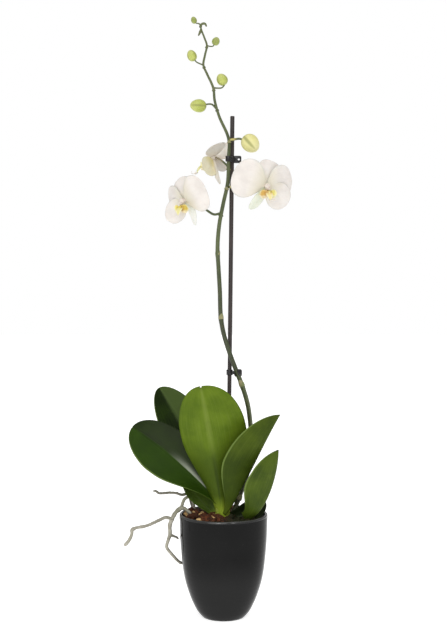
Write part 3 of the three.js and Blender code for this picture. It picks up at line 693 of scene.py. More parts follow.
# %% Leaf measures
# For each leaf: four points of its midrib in mm, where its upper face looks, its half width, its
# fold at root and tip in radians, where along it is widest, how wide its root is against that, how
# blunt its tip is, how far one half is wider than the other, and how deep its tip is notched.
LEAVES = {
    "leaf_front": (((-1, -22, 148), (-8, -30, 212), (-22, -48, 290), (-33, -56, 349)),
                   (0.05, 0.95, 0.3), 52, (0.8, 0.3), 0.58, 0.26, 0.5, -0.08, 0.012),
    "leaf_right": (((3, -22, 156), (26, -34, 190), (55, -47, 262), (82, -40, 306)),
                   (-0.8, 0.35, 0.5), 44, (0.9, 0.85), 0.5, 0.12, 0.85, 0.04, 0),
    "leaf_right_low": (((33, -24, 148), (63, -32, 157.5), (79.7, -40, 221), (79.8, -38, 254.7)),
                       (-0.85, 0.2, 0.45), 42.6, (0.96, 0.7), 0.59, 0.37, 0.77, 0.11, 0),
    "leaf_left": (((-8, -12, 173), (-38, -6, 206), (-84, 6, 247), (-137, 16, 281)),
                  (0.25, -0.88, 0.4), 44, (0.75, 0.3), 0.58, 0.2, 0.5, -0.12, 0),
    "leaf_left_back": (((-6, 4, 160), (-26, 34, 222), (-66, 60, 276), (-100, 72, 335)),
                       (0.2, -0.95, 0.3), 41, (0.8, 0.45), 0.5, 0.3, 0.55, 0, 0),
    "leaf_left_low": (((-12, -6, 152), (-28, 0, 164), (-46, 8, 184), (-60, 16, 208)),
                      (0.5, -0.7, 0.4), 20, (0.6, 0.3), 0.5, 0.5, 0.5, 0, 0),
    "leaf_right_back": (((12, -12, 147), (30, -14, 153), (46, -14, 160), (60, -4, 175)),
                        (0.1, -0.95, 0.2), 17, (0.4, 0.3), 0.5, 0.7, 0.5, 0, 0),
}
print("leaves measured:", len(LEAVES))

# %% Leaf shape
CREASE = 0.12
RIPPLE = 0.9
BOW = 1.4
LEAF_THICKNESS = 2.0


def bent(points, t):
    """A point and a direction on the midrib, a curve with four control points."""
    a, b, c, d = (Vector(point) for point in points)
    s = 1 - t
    place = a * s ** 3 + b * 3 * s * s * t + c * 3 * s * t * t + d * t ** 3
    heading = (b - a) * 3 * s * s + (c - b) * 6 * s * t + (d - c) * 3 * t * t
    return place, heading.normalized()


def leaf_surface(wave_seed, midrib, face, half_width, folds, widest, root, tip, skew, notch):
    """A folded gutter along the midrib, with a slight wave along its edges."""
    face = Vector(face)

    def surface(u, v):
        along = (1 - (1 - u) ** 1.6) * (1 - notch * max(0, 1 - abs(v) * 3))
        place, heading = bent(midrib, along)
        up = (face - heading * face.dot(heading)).normalized()
        side = heading.cross(up)
        outward = max(0, (along - widest) / (1 - widest))
        inward = eased(min(1, along / widest))
        taper = max(0.03, max(0, 1 - outward ** 2.2) ** tip)
        width = half_width * mixed(root, 1, inward) * taper * (1 + skew * v)
        fold = mixed(*folds, min(1, along * 1.4))
        crease = (math.hypot(v, CREASE) - CREASE) / (math.hypot(1, CREASE) - CREASE)
        ripple = (RIPPLE * math.sin(7 * along + wave_seed + 1.6 * v) * v * v
                  * math.sin(math.pi * along))
        bow = BOW * math.sin(math.pi * abs(v)) * taper
        return (place + side * (width * v * math.cos(fold))
                + up * (width * math.sin(fold) * crease + ripple - bow))

    return surface


def leaf_fullness(u, v):
    """Thickest along the midrib, thin at the edge."""
    rib = math.exp(-(v / 0.09) ** 2) * (1 - 0.7 * u)
    edge = 1 - abs(v) ** 6
    return min(1.0, 0.25 + 0.45 * edge * (1 - 0.3 * u) + 0.3 * rib)


print("leaf shape ready")

# %% Leaf finish
def leaf_finish(name, deep, fresh, streak, gloss, shine, streak_width, streak_power, vein_power,
                tip_dark=0.0, lit_half=0.0, base_shade=0.0, base_pale=0.0, sheen_side=0.0,
                pale_edge=0.0):
    """One face of a leaf. `streak` colours the midrib; `lit_half` paints one half in the streak
    colour, as painted light on the half that faces the light, `sheen_side` paints a pale sheen
    beside the midrib as a painted highlight and the rest of that half darker as painted shade,
    `base_shade` paints shade into the channel above the pale clasping base of `base_pale`, and
    `pale_edge` draws a light line along one edge."""
    finish = Finish(name)
    v, along = finish.chart()
    clouds = finish.grain(26.0, 4.0, 0.55)
    patches = finish.grain(9.0, 2.0)
    veins = finish.lanes(v * 34.0, along * 3.0, 3.0, 0.6)
    fibres = finish.lanes(v * 120.0, along * 16.0, 2.0)
    finish.ground(clouds.ramp(0.3, 0.7), deep, fresh)
    finish.coat(veins.ramp(0.45, 0.75) * vein_power, streak)
    finish.coat(patches.ramp(0.55, 0.8) * 0.25, fresh)
    # Painted light: one half of the blade, the one that faces the light, is painted in the streak
    # colour.
    if lit_half:
        half = (v * math.copysign(1.0, lit_half)).ramp(-0.04, 0.12)
        finish.coat(half * abs(lit_half), streak)
    # Painted highlight and shade: on one half a pale sheen (bloom) is painted beside the midrib,
    # and the rest of that half (upper) is painted darker.
    if sheen_side:
        side = v * sheen_side
        beside = side.ramp(0.0, 0.025) * side.ramp(0.34, 0.03)
        bloom = beside * along.ramp(0.5, 0.26) * along.ramp(0.06, 0.16) * veins.ramp(0.1, 0.5)
        finish.coat(bloom * 0.75, (176, 182, 164))
        upper = side.ramp(0.0, 0.06) * along.ramp(0.95, 0.6)
        finish.coat(upper * (1.0 - bloom) * 0.5, (46, 52, 36))
    rib = abs(v).ramp(streak_width, 0.0)
    rib_fade = along.ramp(0.26, 0.5) if base_shade else (1.15 - along).larger(0.0)
    finish.coat(rib * streak_power * rib_fade, streak)
    # Painted shade: the channel above the clasping base is painted darker.
    if base_shade:
        finish.coat((rib * 0.3 + 0.7) * along.ramp(0.46, 0.24) * base_shade, (44, 60, 8))
    if base_pale:
        pale = along.ramp(0.13, 0.02) * (veins.ramp(0.2, 0.6) * 0.4 + 0.6)
        finish.coat(pale * base_pale, (156, 178, 54))
    # Painted shade: each blade is painted darker along its edges, where the surface turns away from
    # the light.
    finish.coat(abs(v).ramp(0.93, 0.995) * 0.5, deep)
    if pale_edge:
        line = (v * pale_edge).ramp(0.945, 0.975) * along.ramp(0.02, 0.3)
        finish.coat(line * 0.6, (118, 138, 70))
    if tip_dark:
        finish.coat(along.ramp(0.86, 1.0) * tip_dark, (28, 38, 18))
    ridges = veins * 0.7 + fibres * 0.3 + abs(v).ramp(0.0, 0.07) * 1.6
    pits = finish.raised(finish.grain(520.0, 2.0), 0.05, 0.0003)
    return finish.surface(clouds, gloss, gloss + 0.12, Specular_IOR_Level=shine,
                          Normal=finish.raised(ridges, 0.25, 0.0009, pits),
                          Subsurface_Weight=0.06, Subsurface_Radius=(0.002, 0.003, 0.0008))


print("leaf finish ready")

# %% Leaf looks
TOP_LOOK = {"deep": (26, 38, 6), "fresh": (42, 56, 14), "streak": (92, 104, 66), "gloss": 0.45,
            "shine": 0.1, "streak_width": 0.09, "streak_power": 0.4, "vein_power": 0.3}
UNDER_LOOK = {"deep": (58, 80, 14), "fresh": (84, 106, 24), "streak": (134, 148, 66),
              "gloss": 0.5, "shine": 0.12, "streak_width": 0.13, "streak_power": 0.45,
              "vein_power": 0.22}
TOP_CHANGES = {
    "leaf_left": {"deep": (20, 34, 2), "fresh": (34, 52, 6), "streak": (50, 80, 10),
                  "sheen_side": 1.0, "lit_half": -0.4, "pale_edge": -1.0, "vein_power": 0.15},
    "leaf_left_back": {"deep": (18, 32, 2), "fresh": (32, 50, 6), "streak": (88, 108, 52),
                       "lit_half": 0.55, "pale_edge": -1.0, "vein_power": 0.12},
    "leaf_left_low": {"deep": (58, 78, 20), "fresh": (82, 104, 34), "base_pale": 0.4},
    # Painted shade: leaf_right_back stands in deep shade behind the others, so its upper face is
    # painted almost black-green.
    "leaf_right_back": {"deep": (16, 26, 6), "fresh": (26, 38, 10)},
}
UNDER_CHANGES = {
    "leaf_front": {"deep": (74, 96, 12), "fresh": (94, 116, 24), "streak": (134, 148, 72),
                   "base_pale": 0.9, "base_shade": 0.9, "tip_dark": 0.3, "streak_power": 0.3,
                   "vein_power": 0.16},
    "leaf_right": {"deep": (44, 60, 6), "fresh": (66, 82, 14), "streak": (104, 120, 50),
                   "base_pale": 0.2, "base_shade": 0.7, "tip_dark": 0.4, "pale_edge": 1.0},
    "leaf_right_low": {"deep": (48, 66, 8), "fresh": (70, 88, 18), "streak": (112, 126, 58),
                       "tip_dark": 0.9, "pale_edge": 1.0},
    # Painted shade: the underside of leaf_right_back is painted almost black-green, for the deep
    # shade it stands in.
    "leaf_right_back": {"deep": (14, 24, 6), "fresh": (24, 36, 10)},
}
print("leaf looks ready")

# %% The seven leaves
for number, (leaf_name, leaf) in enumerate(LEAVES.items()):
    piece = blade(leaf_surface(1.7 * number, *leaf), 84, 44, LEAF_THICKNESS, leaf_fullness)
    coated(piece,
           leaf_finish(leaf_name + "_top", **{**TOP_LOOK, **TOP_CHANGES.get(leaf_name, {})}),
           leaf_finish(leaf_name + "_under", **{**UNDER_LOOK, **UNDER_CHANGES.get(leaf_name, {})}))
    slot = "leaf_light" if leaf_name == "leaf_front" else "leaf_dark"
    finished(piece, leaf_name + "_blade", slot, leaf_name)

# %% [markdown]
# ## Crown
# The leaves meet in a short, thick stem. What shows of it is a bundle of pale yellow-green leaf
# bases, one clasped round the next, each with a sharp upper edge. It is a tapering stem with
# four thin sheaths wrapped round it.

# %% Crown finish and shape
CROWN_ROUTE = [(-2, -12, 118), (-2, -12, 140), (-2, -12, 160), (-2, -10, 178)]
CROWN_RADII = [6, 8.6, 8.4, 5]
SHEATHS = [(-2.9, 146, 170, 9.4), (0.4, 146, 166, 9.8), (2.2, 146, 162, 9.2),
           (-1.9, 142, 153, 12.6)]
SHEATH_OPENING = 1.5
SHEATH_THICKNESS = 1.1


def crown_finish():
    finish = Finish("crown_green")
    height = finish.place.split()[2]
    clouds = finish.grain(70.0, 4.0)
    lines = finish.lines((420.0, 420.0, 40.0), 2.0)
    finish.ground(clouds.ramp(0.3, 0.7), (128, 146, 42), (176, 190, 78))
    finish.coat(height.ramp(0.158, 0.149) * 0.75, (206, 196, 128))
    finish.coat(lines.ramp(0.5, 0.8) * 0.3, (96, 118, 34))
    return finish.surface(clouds, 0.32, 0.48, Normal=finish.raised(lines, 0.2, 0.0006),
                          Subsurface_Weight=0.1, Subsurface_Radius=(0.003, 0.003, 0.001))


def sheath_surface(facing, low, high, radius):
    """A leaf base that wraps the crown, open on the side away from `facing` (radians)."""
    def surface(u, v):
        angle = facing + v * (math.pi - SHEATH_OPENING) * (1 - 0.35 * u)
        flare = radius + 1.4 * u * u + 0.5 * math.cos(3 * angle)
        top = mixed(low, high, u) - 5 * u * abs(v)
        return Vector((-2 + flare * math.cos(angle), -12 + flare * math.sin(angle), top))
    return surface


crown_pieces = [tapered(CROWN_ROUTE, CROWN_RADII, 40, 5)]
for sheath in SHEATHS:
    crown_pieces.append(blade(sheath_surface(*sheath), 16, 24, SHEATH_THICKNESS,
                              lambda u, v: 1 - 0.7 * max(abs(v), u) ** 4))
finished(coated(joined(crown_pieces), crown_finish()), "crown_sheaths", "crown_green", "crown")

# %% [markdown]
# ## Aerial roots
# The roots that climb over the rim are matt grey-beige cords, wrinkled lengthways, with small
# knots where they turn and a few forks. Each one is a curve with a radius at every point, made a
# mesh and roughened with a fine cloud. The finish adds dry wrinkles and greener, browner
# stretches.

# %% Root finish
def root_finish(name, pale, dark, green_share):
    finish = Finish(name)
    clouds = finish.grain(90.0, 4.0)
    wrinkles = finish.grain(620.0, 4.0, 0.7)
    finish.ground(clouds.ramp(0.3, 0.7), pale, dark)
    finish.coat(finish.grain(24.0, 2.0).ramp(0.5, 0.7) * green_share, (122, 128, 84))
    finish.coat(wrinkles.ramp(0.58, 0.7) * 0.45, (92, 82, 66))
    return finish.surface(clouds, 0.72, 0.9, Specular_IOR_Level=0.3,
                          Normal=finish.raised(wrinkles + clouds, 0.6, 0.0006))


print("root finish ready")

# %% Root routes
ROOT_UPPER = [
    ([(-41, 30, 144), (-47, 25, 160), (-52, 17, 176), (-56, 6, 181.5), (-62, 2, 181), (-71, 0, 184),
      (-80, -2, 185), (-87, -3, 184.6), (-96, -4, 184.6), (-101, -5, 188), (-105, -6, 188)],
     [2, 1.8, 1.7, 1.5])]
ROOTS_HANGING = [
    ([(-42, 16, 142), (-44, 14, 158), (-47, 11, 172), (-52, 9, 176.6), (-59, 6, 173), (-62, 4, 165),
      (-65, 2, 158.8), (-73, 0, 153.5), (-76, -2, 147), (-80, -1, 136), (-80, 0, 122),
      (-83, 1, 112), (-85, 2, 102), (-80, 4, 94), (-74, 8, 86), (-69, 14, 79), (-65, 22, 74),
      (-60, 32, 70)],
     [1.8, 1.9, 2.2, 2.3, 2.1, 1.9, 1.7]),
    ([(-46, 2, 142), (-52, 1, 155), (-59, 0, 160.5), (-66, -1, 160), (-72, -3, 154), (-77, -4, 147),
      (-86, -8, 149), (-96, -12, 145.5), (-113, -18, 139), (-130, -24, 136.5), (-134.5, -25, 134),
      (-135, -25, 128), (-139.5, -26, 118), (-146, -28, 111)],
     [1.8, 2, 2.3, 2, 1.9, 1.9, 2.3]),
    ([(-43, -9, 142), (-50, -7, 156), (-58, -4, 162), (-65, 1, 161.5), (-71, 3, 156.5),
      (-76, 0, 147)],
     [1.6, 1.8, 1.6]),
    ([(-80, 0, 121), (-75, 4, 118.5), (-71, 10, 115.5), (-68, 18, 111)], [1.7, 1.4, 1.1]),
]
print("root routes:", len(ROOT_UPPER) + len(ROOTS_HANGING))

# %% Two sets of roots
ROOT_GIRTH = 1.16
KNOT_SWELL = 0.16
STEPS_BETWEEN = 14
ROOT_SEED = 11
root_random = random.Random(ROOT_SEED)


def root_strand(points, radii):
    """A root with small knots and a rounded tip."""
    steps = STEPS_BETWEEN * len(points)
    knots = [root_random.random() for _ in range(max(3, len(points) // 2))]
    thickness = []
    for k in range(steps + 1):
        share = k / steps
        knot = sum(KNOT_SWELL * math.exp(-((share - place) * steps / 5) ** 2) for place in knots)
        end = math.sqrt(max(0.06, 1 - max(0, (share - 1) * steps / 6 + 1) ** 2))
        thickness.append(ROOT_GIRTH * between(radii, share) * (1 + knot) * end)
    piece = strand(smooth_route(points, steps), thickness, 3)
    roughened(piece, 0.0035, 0.0009)
    return piece


for name, strands, pale, dark, green_share in (
        ("roots_hanging", ROOTS_HANGING, (176, 172, 158), (142, 138, 124), 0.25),
        ("root_upper", ROOT_UPPER, (140, 136, 124), (108, 104, 94), 0.15)):
    root = joined([root_strand(*values) for values in strands])
    coated(root, root_finish(name + "_skin", pale, dark, green_share))
    finished(root, name + "_strands", "root", name)

# %% [markdown]
# ## Flower spike
# One green stem rises from between the leaves, leans against the stake and zigzags between the
# buds. It is thick and brownish green low down, darkest in the middle, and thin and fresh green
# at the top. A bract clasps every joint, dry low down and green above, and every flower stalk
# leaves the stem above a small pointed bract. The stalk of the back bloom is paler and brownish.

# %% Spike routes
SPIKE_ROUTE = [
    (8, -4, 142), (13, -3, 153), (17, -2, 161.7), (21, 2, 171.5), (28.4, 7, 190),
    (36.6, 14, 214.8), (42, 19, 244.2), (41.6, 19, 270), (39.2, 15, 296.3), (36.1, 9, 316),
    (28.6, 2, 342.1), (18, -3, 369.7), (8.6, -5, 395.1), (0.3, -2, 422), (-4, 0, 447),
    (-5.4, 0, 484.7), (-7.4, 0, 520.2), (-8.8, 0, 549), (-6.4, 0, 582.5), (-0.4, 0, 614.5),
    (6.2, -1, 645.7), (7.4, -1, 681.8), (7.7, -1, 709.4), (-6.6, -4, 743), (-13, -6, 765.7),
    (-15, -6, 783.5), (-24.5, -6, 804.8), (-29.5, -6, 817), (-27.2, -6, 831.4),
    (-24.4, -6, 845.5), (-28.1, -6, 857), (-32.5, -6, 868.5), (-34.3, -6, 876.4)]
SPIKE_RADII = [3.5, 3.7, 3.7, 3.6, 3.5, 3.3, 3.1, 2.9, 2.6, 2.1, 1.7, 1.3]
STALKS = [
    ([(7.7, -1, 707.6), (16, -6, 708.6), (24, -9, 709), (29.5, -11, 706.4)], [2.3, 1.7, 1.6]),
    ([(-11, -5, 754), (-17, -6.5, 759.5), (-24, -8, 759.6), (-30, -8, 758)], [1.5, 1.3, 1.2]),
    ([(-15, -6, 784), (-9, -5.5, 783.5), (-2.5, -4.5, 784.2), (1.5, -4, 788.3)], [1.3, 1.1, 1.1]),
    ([(-29.5, -6, 817), (-35, -7, 819), (-39.5, -8, 821), (-42.5, -8, 824.6)], [1.2, 1, 1]),
    ([(-24.5, -6, 845.5), (-20, -5, 844.5), (-15.5, -4, 845), (-13.5, -4, 847.6)], [1.1, 0.9, 0.9]),
    ([(-34, -6, 876), (-37, -6, 877.6), (-40, -6, 878), (-41.8, -6, 879.8)], [1.2, 0.9, 0.9]),
    ([(7.9, -1, 639), (14, -7, 639), (30, -14, 642), (46, -20, 642), (60, -29, 639.2)],
     [1.9, 1.7, 1.7]),
    ([(-4.5, 0, 600.5), (-14, -4, 598.5), (-24, -8, 604), (-34, -14, 611), (-53.4, -22.4, 619)],
     [1.9, 1.7, 1.7]),
    ([(7.4, -1, 669), (3, 4, 673.5), (-2, 9, 678.5), (-7, 14.5, 682.6), (-12.1, 20.1, 685)],
     [1.7, 1.3, 1.3]),
]
# Where along the spike, length, radius and the side that it leans to.
BRACTS = [(0.047, 9, 4.9, 0.4), (0.282, 13, 4.2, -0.5), (0.42, 10, 3.9, 0.5),
          (0.545, 10, 3.6, 2.4)]
TIP_SCALES = [
    ([(-34.2, -6, 873.5), (-31, -6.5, 877), (-27, -7, 876.8), (-24.8, -7, 872.8)], [1.6, 1.8, 1.2]),
    ([(-32.6, -6, 869.5), (-34.6, -7.5, 864), (-36.8, -9, 859)], [1.6, 1.9, 0.9])]
print("spike routes ready:", len(STALKS), "stalks")

# %% Spike finish
def spike_finish():
    finish = Finish("spike_green")
    across, depth, height = finish.place.split()
    clouds = finish.grain(40.0, 4.0)
    lines = finish.lines((700.0, 700.0, 22.0), 3.0)
    finish.ground(clouds.ramp(0.3, 0.7), (66, 76, 42), (86, 95, 58))
    middle = height.ramp(0.57, 0.44) * height.ramp(0.34, 0.38)
    finish.coat(middle * 0.75, (44, 48, 28))
    finish.coat(height.ramp(0.36, 0.18) * 0.6, (70, 68, 42))
    finish.coat(height.ramp(0.7, 0.8) * 0.6, (94, 102, 62))
    finish.coat(lines.ramp(0.5, 0.75) * 0.35, (66, 86, 42))
    for joint in (0.711, 0.639):
        near = abs(height - joint).ramp(0.005, 0.003) * across.ramp(0.0085, 0.0105)
        finish.coat(near * across.ramp(0.021, 0.014) * 0.85, (198, 186, 112))
    rear = depth.ramp(0.004, 0.009) * height.ramp(0.655, 0.665)
    finish.coat(rear * 0.75, (150, 136, 112))
    finish.coat(finish.grain(330.0, 2.0).ramp(0.62, 0.7) * 0.35, (92, 70, 46))
    return finish.surface(clouds, 0.34, 0.5, Normal=finish.raised(lines, 0.2, 0.0005),
                          Subsurface_Weight=0.08, Subsurface_Radius=(0.002, 0.003, 0.001))


def bract_finish():
    """Dry and pale low on the stem, green in the upper bracts."""
    finish = Finish("bract_green")
    clouds = finish.grain(160.0, 4.0)
    lines = finish.lines((900.0, 900.0, 60.0), 3.0)
    finish.ground(clouds.ramp(0.35, 0.65), (104, 116, 66), (142, 136, 98))
    finish.coat(lines.ramp(0.5, 0.8) * 0.4, (150, 140, 104))
    finish.coat(finish.place.split()[2].ramp(0.722, 0.735) * 0.85, (86, 94, 54))
    return finish.surface(clouds, 0.5, 0.7, Normal=finish.raised(lines, 0.35, 0.0005))


print("spike finishes ready")

# %% Spike shape
SPIKE_STEPS = 520
STALK_STEPS = 40
JOINT_SWELL = 0.14
BRACT_THICKNESS = 0.7
SMALL_BRACT = 5.0


def stem_radius(share):
    """The measured taper, a little swollen at each joint."""
    swell = sum(JOINT_SWELL * math.exp(-((share - at) / 0.006) ** 2) for at, *_ in BRACTS)
    return between(SPIKE_RADII, share) * (1 + swell)


def clasping(share, length, radius, lean, spread=0.82):
    """A bract that clasps the stem: a short pointed sheath, wrapped most of the way round."""
    start = int(share * SPIKE_STEPS)
    axis_start = spike_route[start]
    steps = max(2, int(length / (spike_route[1] - spike_route[0]).length))
    axis_end = spike_route[min(start + steps, SPIKE_STEPS)]
    axis = (axis_end - axis_start).normalized()
    across = axis.cross(Vector((0.3, -1, 0.1))).normalized()
    ahead = across.cross(axis)

    def surface(u, v):
        angle = lean + v * math.pi * spread
        rise = u * (1 - 0.75 * abs(v) ** 1.5)
        reach = radius * (0.86 + 0.2 * math.sin(math.pi * min(1, 0.25 + 0.75 * u))) - 0.35
        outward = ahead * math.cos(angle) + across * math.sin(angle)
        return axis_start.lerp(axis_end, rise) + outward * reach

    return blade(surface, 12, 26, BRACT_THICKNESS, lambda u, v: 1 - 0.6 * max(u, abs(v)) ** 3)


print("bract shape ready")

# %% Stem, stalks and bracts
spike_route = smooth_route(SPIKE_ROUTE, SPIKE_STEPS)
stem_widths = [stem_radius(k / SPIKE_STEPS) for k in range(SPIKE_STEPS + 1)]
stem_parts = [strand(spike_route, stem_widths, 4)]
stem_parts += [tapered(points, radii, STALK_STEPS, 3, 0.75) for points, radii in STALKS]
bract_parts = [clasping(*bract) for bract in BRACTS]
for points, _ in STALKS:
    foot = Vector(points[0])
    nearest = min(range(len(spike_route)), key=lambda k: (spike_route[k] - foot).length)
    lean = 0.0 if points[1][0] > points[0][0] else math.pi
    share = max(0.0, nearest / SPIKE_STEPS - 0.004)
    bract_parts.append(clasping(share, SMALL_BRACT, stem_radius(share) + 0.9, lean - 0.3, 0.5))
bract_parts += [tapered(points, radii, 20, 3, 0.4) for points, radii in TIP_SCALES]
finished(coated(joined(stem_parts), spike_finish()), "spike_stem", "spike_green", "spike")
finished(coated(joined(bract_parts), bract_finish()), "spike_bracts", "spike_green", "spike")

# %% [markdown]
# ## Buds
# A closed bud is an egg of three fleshy sepals whose edges meet in shallow, darker seams, a
# little narrower toward its tip. Small buds are yellow-green. The lowest is about to open and
# already cream, with the ribs of the petals showing through. Each starts as a sphere whose
# corners are moved by a formula.

# %% Bud measures
BUDS = {
    "bud_a": ((-43.4, -6, 882.4), (-0.35, 0, 0.94), 10.5, 4.2),
    "bud_b": ((-11.2, -4, 852.1), (0.45, 0, 0.9), 12.5, 5.6),
    "bud_c": ((-46.4, -8, 830.4), (-0.4, 0, 0.92), 17, 6.9),
    "bud_d": ((-2.2, -4, 796.2), (-0.5, 0, 0.87), 18, 8),
    "bud_e": ((-37, -8, 757.4), (-0.99, -0.05, 0.05), 24, 9.5),
    "bud_f": ((39.6, -13, 701.6), (0.6, -0.35, -0.72), 29.5, 12.8),
}
SEAM_WIDTH = 0.09
SEAM_DEPTH = 0.08
RIB_HEIGHT = 0.006
print("buds measured:", len(BUDS))

# %% Bud finish
def bud_finish(name, deep, fresh, tip):
    finish = Finish(name)
    along = finish.mark("along")
    clouds = finish.grain(55.0)
    finish.ground(clouds.ramp(0.25, 0.75), deep, fresh)
    finish.coat(along.ramp(0.45, 1.0) * 0.6, tip)
    finish.coat(along.ramp(0.2, 0.0) * 0.6, (142, 152, 72))
    finish.coat(finish.mark("seam") * 0.75, (138, 140, 74))
    return finish.surface(clouds, 0.36, 0.52,
                          Normal=finish.raised(finish.grain(140.0, 2.0), 0.12, 0.0004))


print("bud finish ready")

# %% Six buds
def bud_shape(centre, axis, length, radius):
    bpy.ops.mesh.primitive_uv_sphere_add(segments=60, ring_count=36, radius=1, location=(0, 0, 0))
    piece = bpy.context.object
    turn = Vector((0, 1, 0)).rotation_difference(Vector(axis).normalized())
    alongs = []
    seams = []
    for vertex in piece.data.vertices:
        x, z, height = vertex.co.x, -vertex.co.y, vertex.co.z
        angle = math.atan2(z, x)
        seam = math.exp(-((math.sin(1.5 * angle) ** 2 - 1) / SEAM_WIDTH) ** 2)
        ribs = RIB_HEIGHT * math.cos(12 * angle) * (1 - height * height)
        girth = (1 - SEAM_DEPTH * seam * (1 - height * height) + ribs) * (1 - 0.1 * height)
        point = Vector((x * radius * girth, height * length / 2, z * radius * girth))
        vertex.co = (Vector(centre) + turn @ point) * MM
        alongs.append((height + 1) / 2)
        seams.append(seam * (1 - height ** 4))
    marked(piece, "along", alongs)
    marked(piece, "seam", seams)
    smooth_faces(piece)
    return piece


bud_young = bud_finish("bud_young", (128, 142, 66), (156, 166, 88), (170, 176, 104))
bud_green = bud_finish("bud_green", (166, 176, 80), (190, 196, 106), (196, 198, 124))
bud_cream = bud_finish("bud_cream", (208, 202, 124), (222, 216, 152), (226, 221, 168))
for bud_name, values in BUDS.items():
    look = {"bud_a": bud_young, "bud_b": bud_young, "bud_f": bud_cream}.get(bud_name, bud_green)
    slot = "bud_cream" if bud_name == "bud_f" else "bud_green"
    finished(coated(bud_shape(*values), look), bud_name + "_sepals", slot, bud_name)

# %% [markdown]
# ## Blooms
# A moth orchid bloom has three narrow sepals behind and two broad petals in front, all white,
# thin and faintly ribbed, round a short white column. They shine softly because light passes
# through them, so the finish lets a little light under the surface, and a very fine grain gives
# the frosty look of the living tissue. Every tepal is a bent grid, placed by its angle round the
# column.

# %% Petal finishes
def petal_finish(name, pale, base, vein, vein_power=0.25):
    finish = Finish(name)
    v, along = finish.chart()
    clouds = finish.grain(55.0)
    veins = finish.lanes(v * 11.0, along * 1.6, 4.0, 0.55, 0.5)
    finish.ground(clouds.ramp(0.35, 0.7) * 0.4, pale, vein)
    finish.coat(veins.ramp(0.5, 0.75) * vein_power, vein)
    finish.coat(along.ramp(0.42, 0.0) * 0.8, base)
    # Painted shade: each tepal is painted greyer along its edges and toward its tip.
    finish.coat(abs(v).larger(along * 2.0 - 1.0).ramp(0.9, 1.0) * 0.45, (202, 204, 196))
    frost = finish.grain(1500.0, 1.0)
    return finish.surface(clouds, 0.42, 0.58, Specular_IOR_Level=0.4, Sheen_Weight=0.08,
                          Normal=finish.raised(veins + frost * 0.12, 0.35, 0.0012),
                          Subsurface_Weight=0.3, Subsurface_Radius=(0.004, 0.0034, 0.003))


def column_finish():
    finish = Finish("column_white")
    clouds = finish.grain(240.0)
    finish.ground(clouds.ramp(0.3, 0.7), (224, 216, 204), (206, 190, 180))
    return finish.surface(clouds, 0.45, 0.6, Subsurface_Weight=0.2,
                          Subsurface_Radius=(0.003, 0.003, 0.002))


PETAL_WHITE = petal_finish("petal_white", (229, 223, 217), (212, 206, 184), (203, 196, 190))
PETAL_BACK = petal_finish("petal_back", (223, 219, 211), (202, 198, 168), (196, 189, 182))
SEPAL_PALE = petal_finish("sepal_pale", (226, 226, 220), (208, 212, 194), (202, 206, 188))
SEPAL_GREEN = petal_finish("sepal_green", (222, 225, 210), (196, 202, 166), (202, 208, 184), 0.4)
PETAL_CREAM = petal_finish("petal_cream", (238, 232, 206), (228, 218, 152), (222, 212, 168))
PETAL_BLUSH = petal_finish("petal_blush", (231, 226, 216), (224, 212, 194), (208, 198, 188), 0.45)
COLUMN_WHITE = column_finish()
print("petal finishes ready")

# %% Bloom measures
# For each bloom: its hub in mm, where it faces, its roll, how far its lip is drawn out, and then
# its upper sepal, right and left sepals and right and left petals. Each of these has its angle
# round the column in degrees, its length and half width in mm, its bend at root and tip in
# radians, and what is its own.
BLOOMS = {
    "right": ((61.6, -33, 638), (0.34, -0.9, -0.24), -0.04, 1.0, [
        (27, 39, 23, 0.1, 0.35, {}),
        (125, 51, 20, 0, 0.2, {}),
        (-161, 43, 11.5, 0, 0.35, {"twist": -0.5, "sway": -0.12, "look": SEPAL_GREEN}),
        (82, 49, 26, 0.1, 0.3, {}),
        (-71, 52, 30, 0.1, 0.3, {"nip": -0.3})]),
    "left": ((-57, -26, 617.5), (-0.62, -0.72, -0.3), 0, 1.0, [
        (-4, 35, 20, 0.1, 0.3, {}),
        (145, 36.5, 7, 0.1, 0.15, {"twist": -0.1, "sway": 0.42, "look": SEPAL_PALE}),
        (-124, 48, 17, 0, -0.1, {}),
        (69, 42, 28, 0.1, 0.2, {}),
        (-90, 44, 22, 0.1, 0.3, {})]),
    "back": ((-16.2, 22, 684.4), (-0.86, 0.4, -0.14), 0, 1.5, [
        (16, 29, 19, 0.5, 0.8, {"twist": -0.5, "look": PETAL_BLUSH}),
        (160, 42, 7, 0.1, 0.3, {"twist": -0.9, "look": PETAL_BLUSH}),
        (-150, 26, 15, 0.3, 0.5, {"look": PETAL_BLUSH}),
        (135, 33, 16, -0.1, -0.1, {"twist": 0.3, "look": PETAL_CREAM}),
        (-100, 40, 17, 0.6, 0.9, {"twist": -0.9, "look": PETAL_BLUSH})]),
}
SEPALS = 3
print("blooms measured:", len(BLOOMS))

# %% Tepal shapes
TEPAL_THICKNESS = 0.9
PEAK = 0.5
WAVE = 0.9
RUFFLE = 0.55
RIB = 0.14
KEEL = 0.7


def bloom_place(hub, facing, roll):
    """Where a bloom's own directions (right, up, front) lie in the plant."""
    front = Vector(facing).normalized()
    level = (Vector((0, 0, 1)) - front * front.z).normalized()
    up = Quaternion(front, -roll) @ level
    turn = Matrix((up.cross(front), up, front)).transposed().to_4x4()
    return Matrix.Translation(Vector(hub)) @ turn


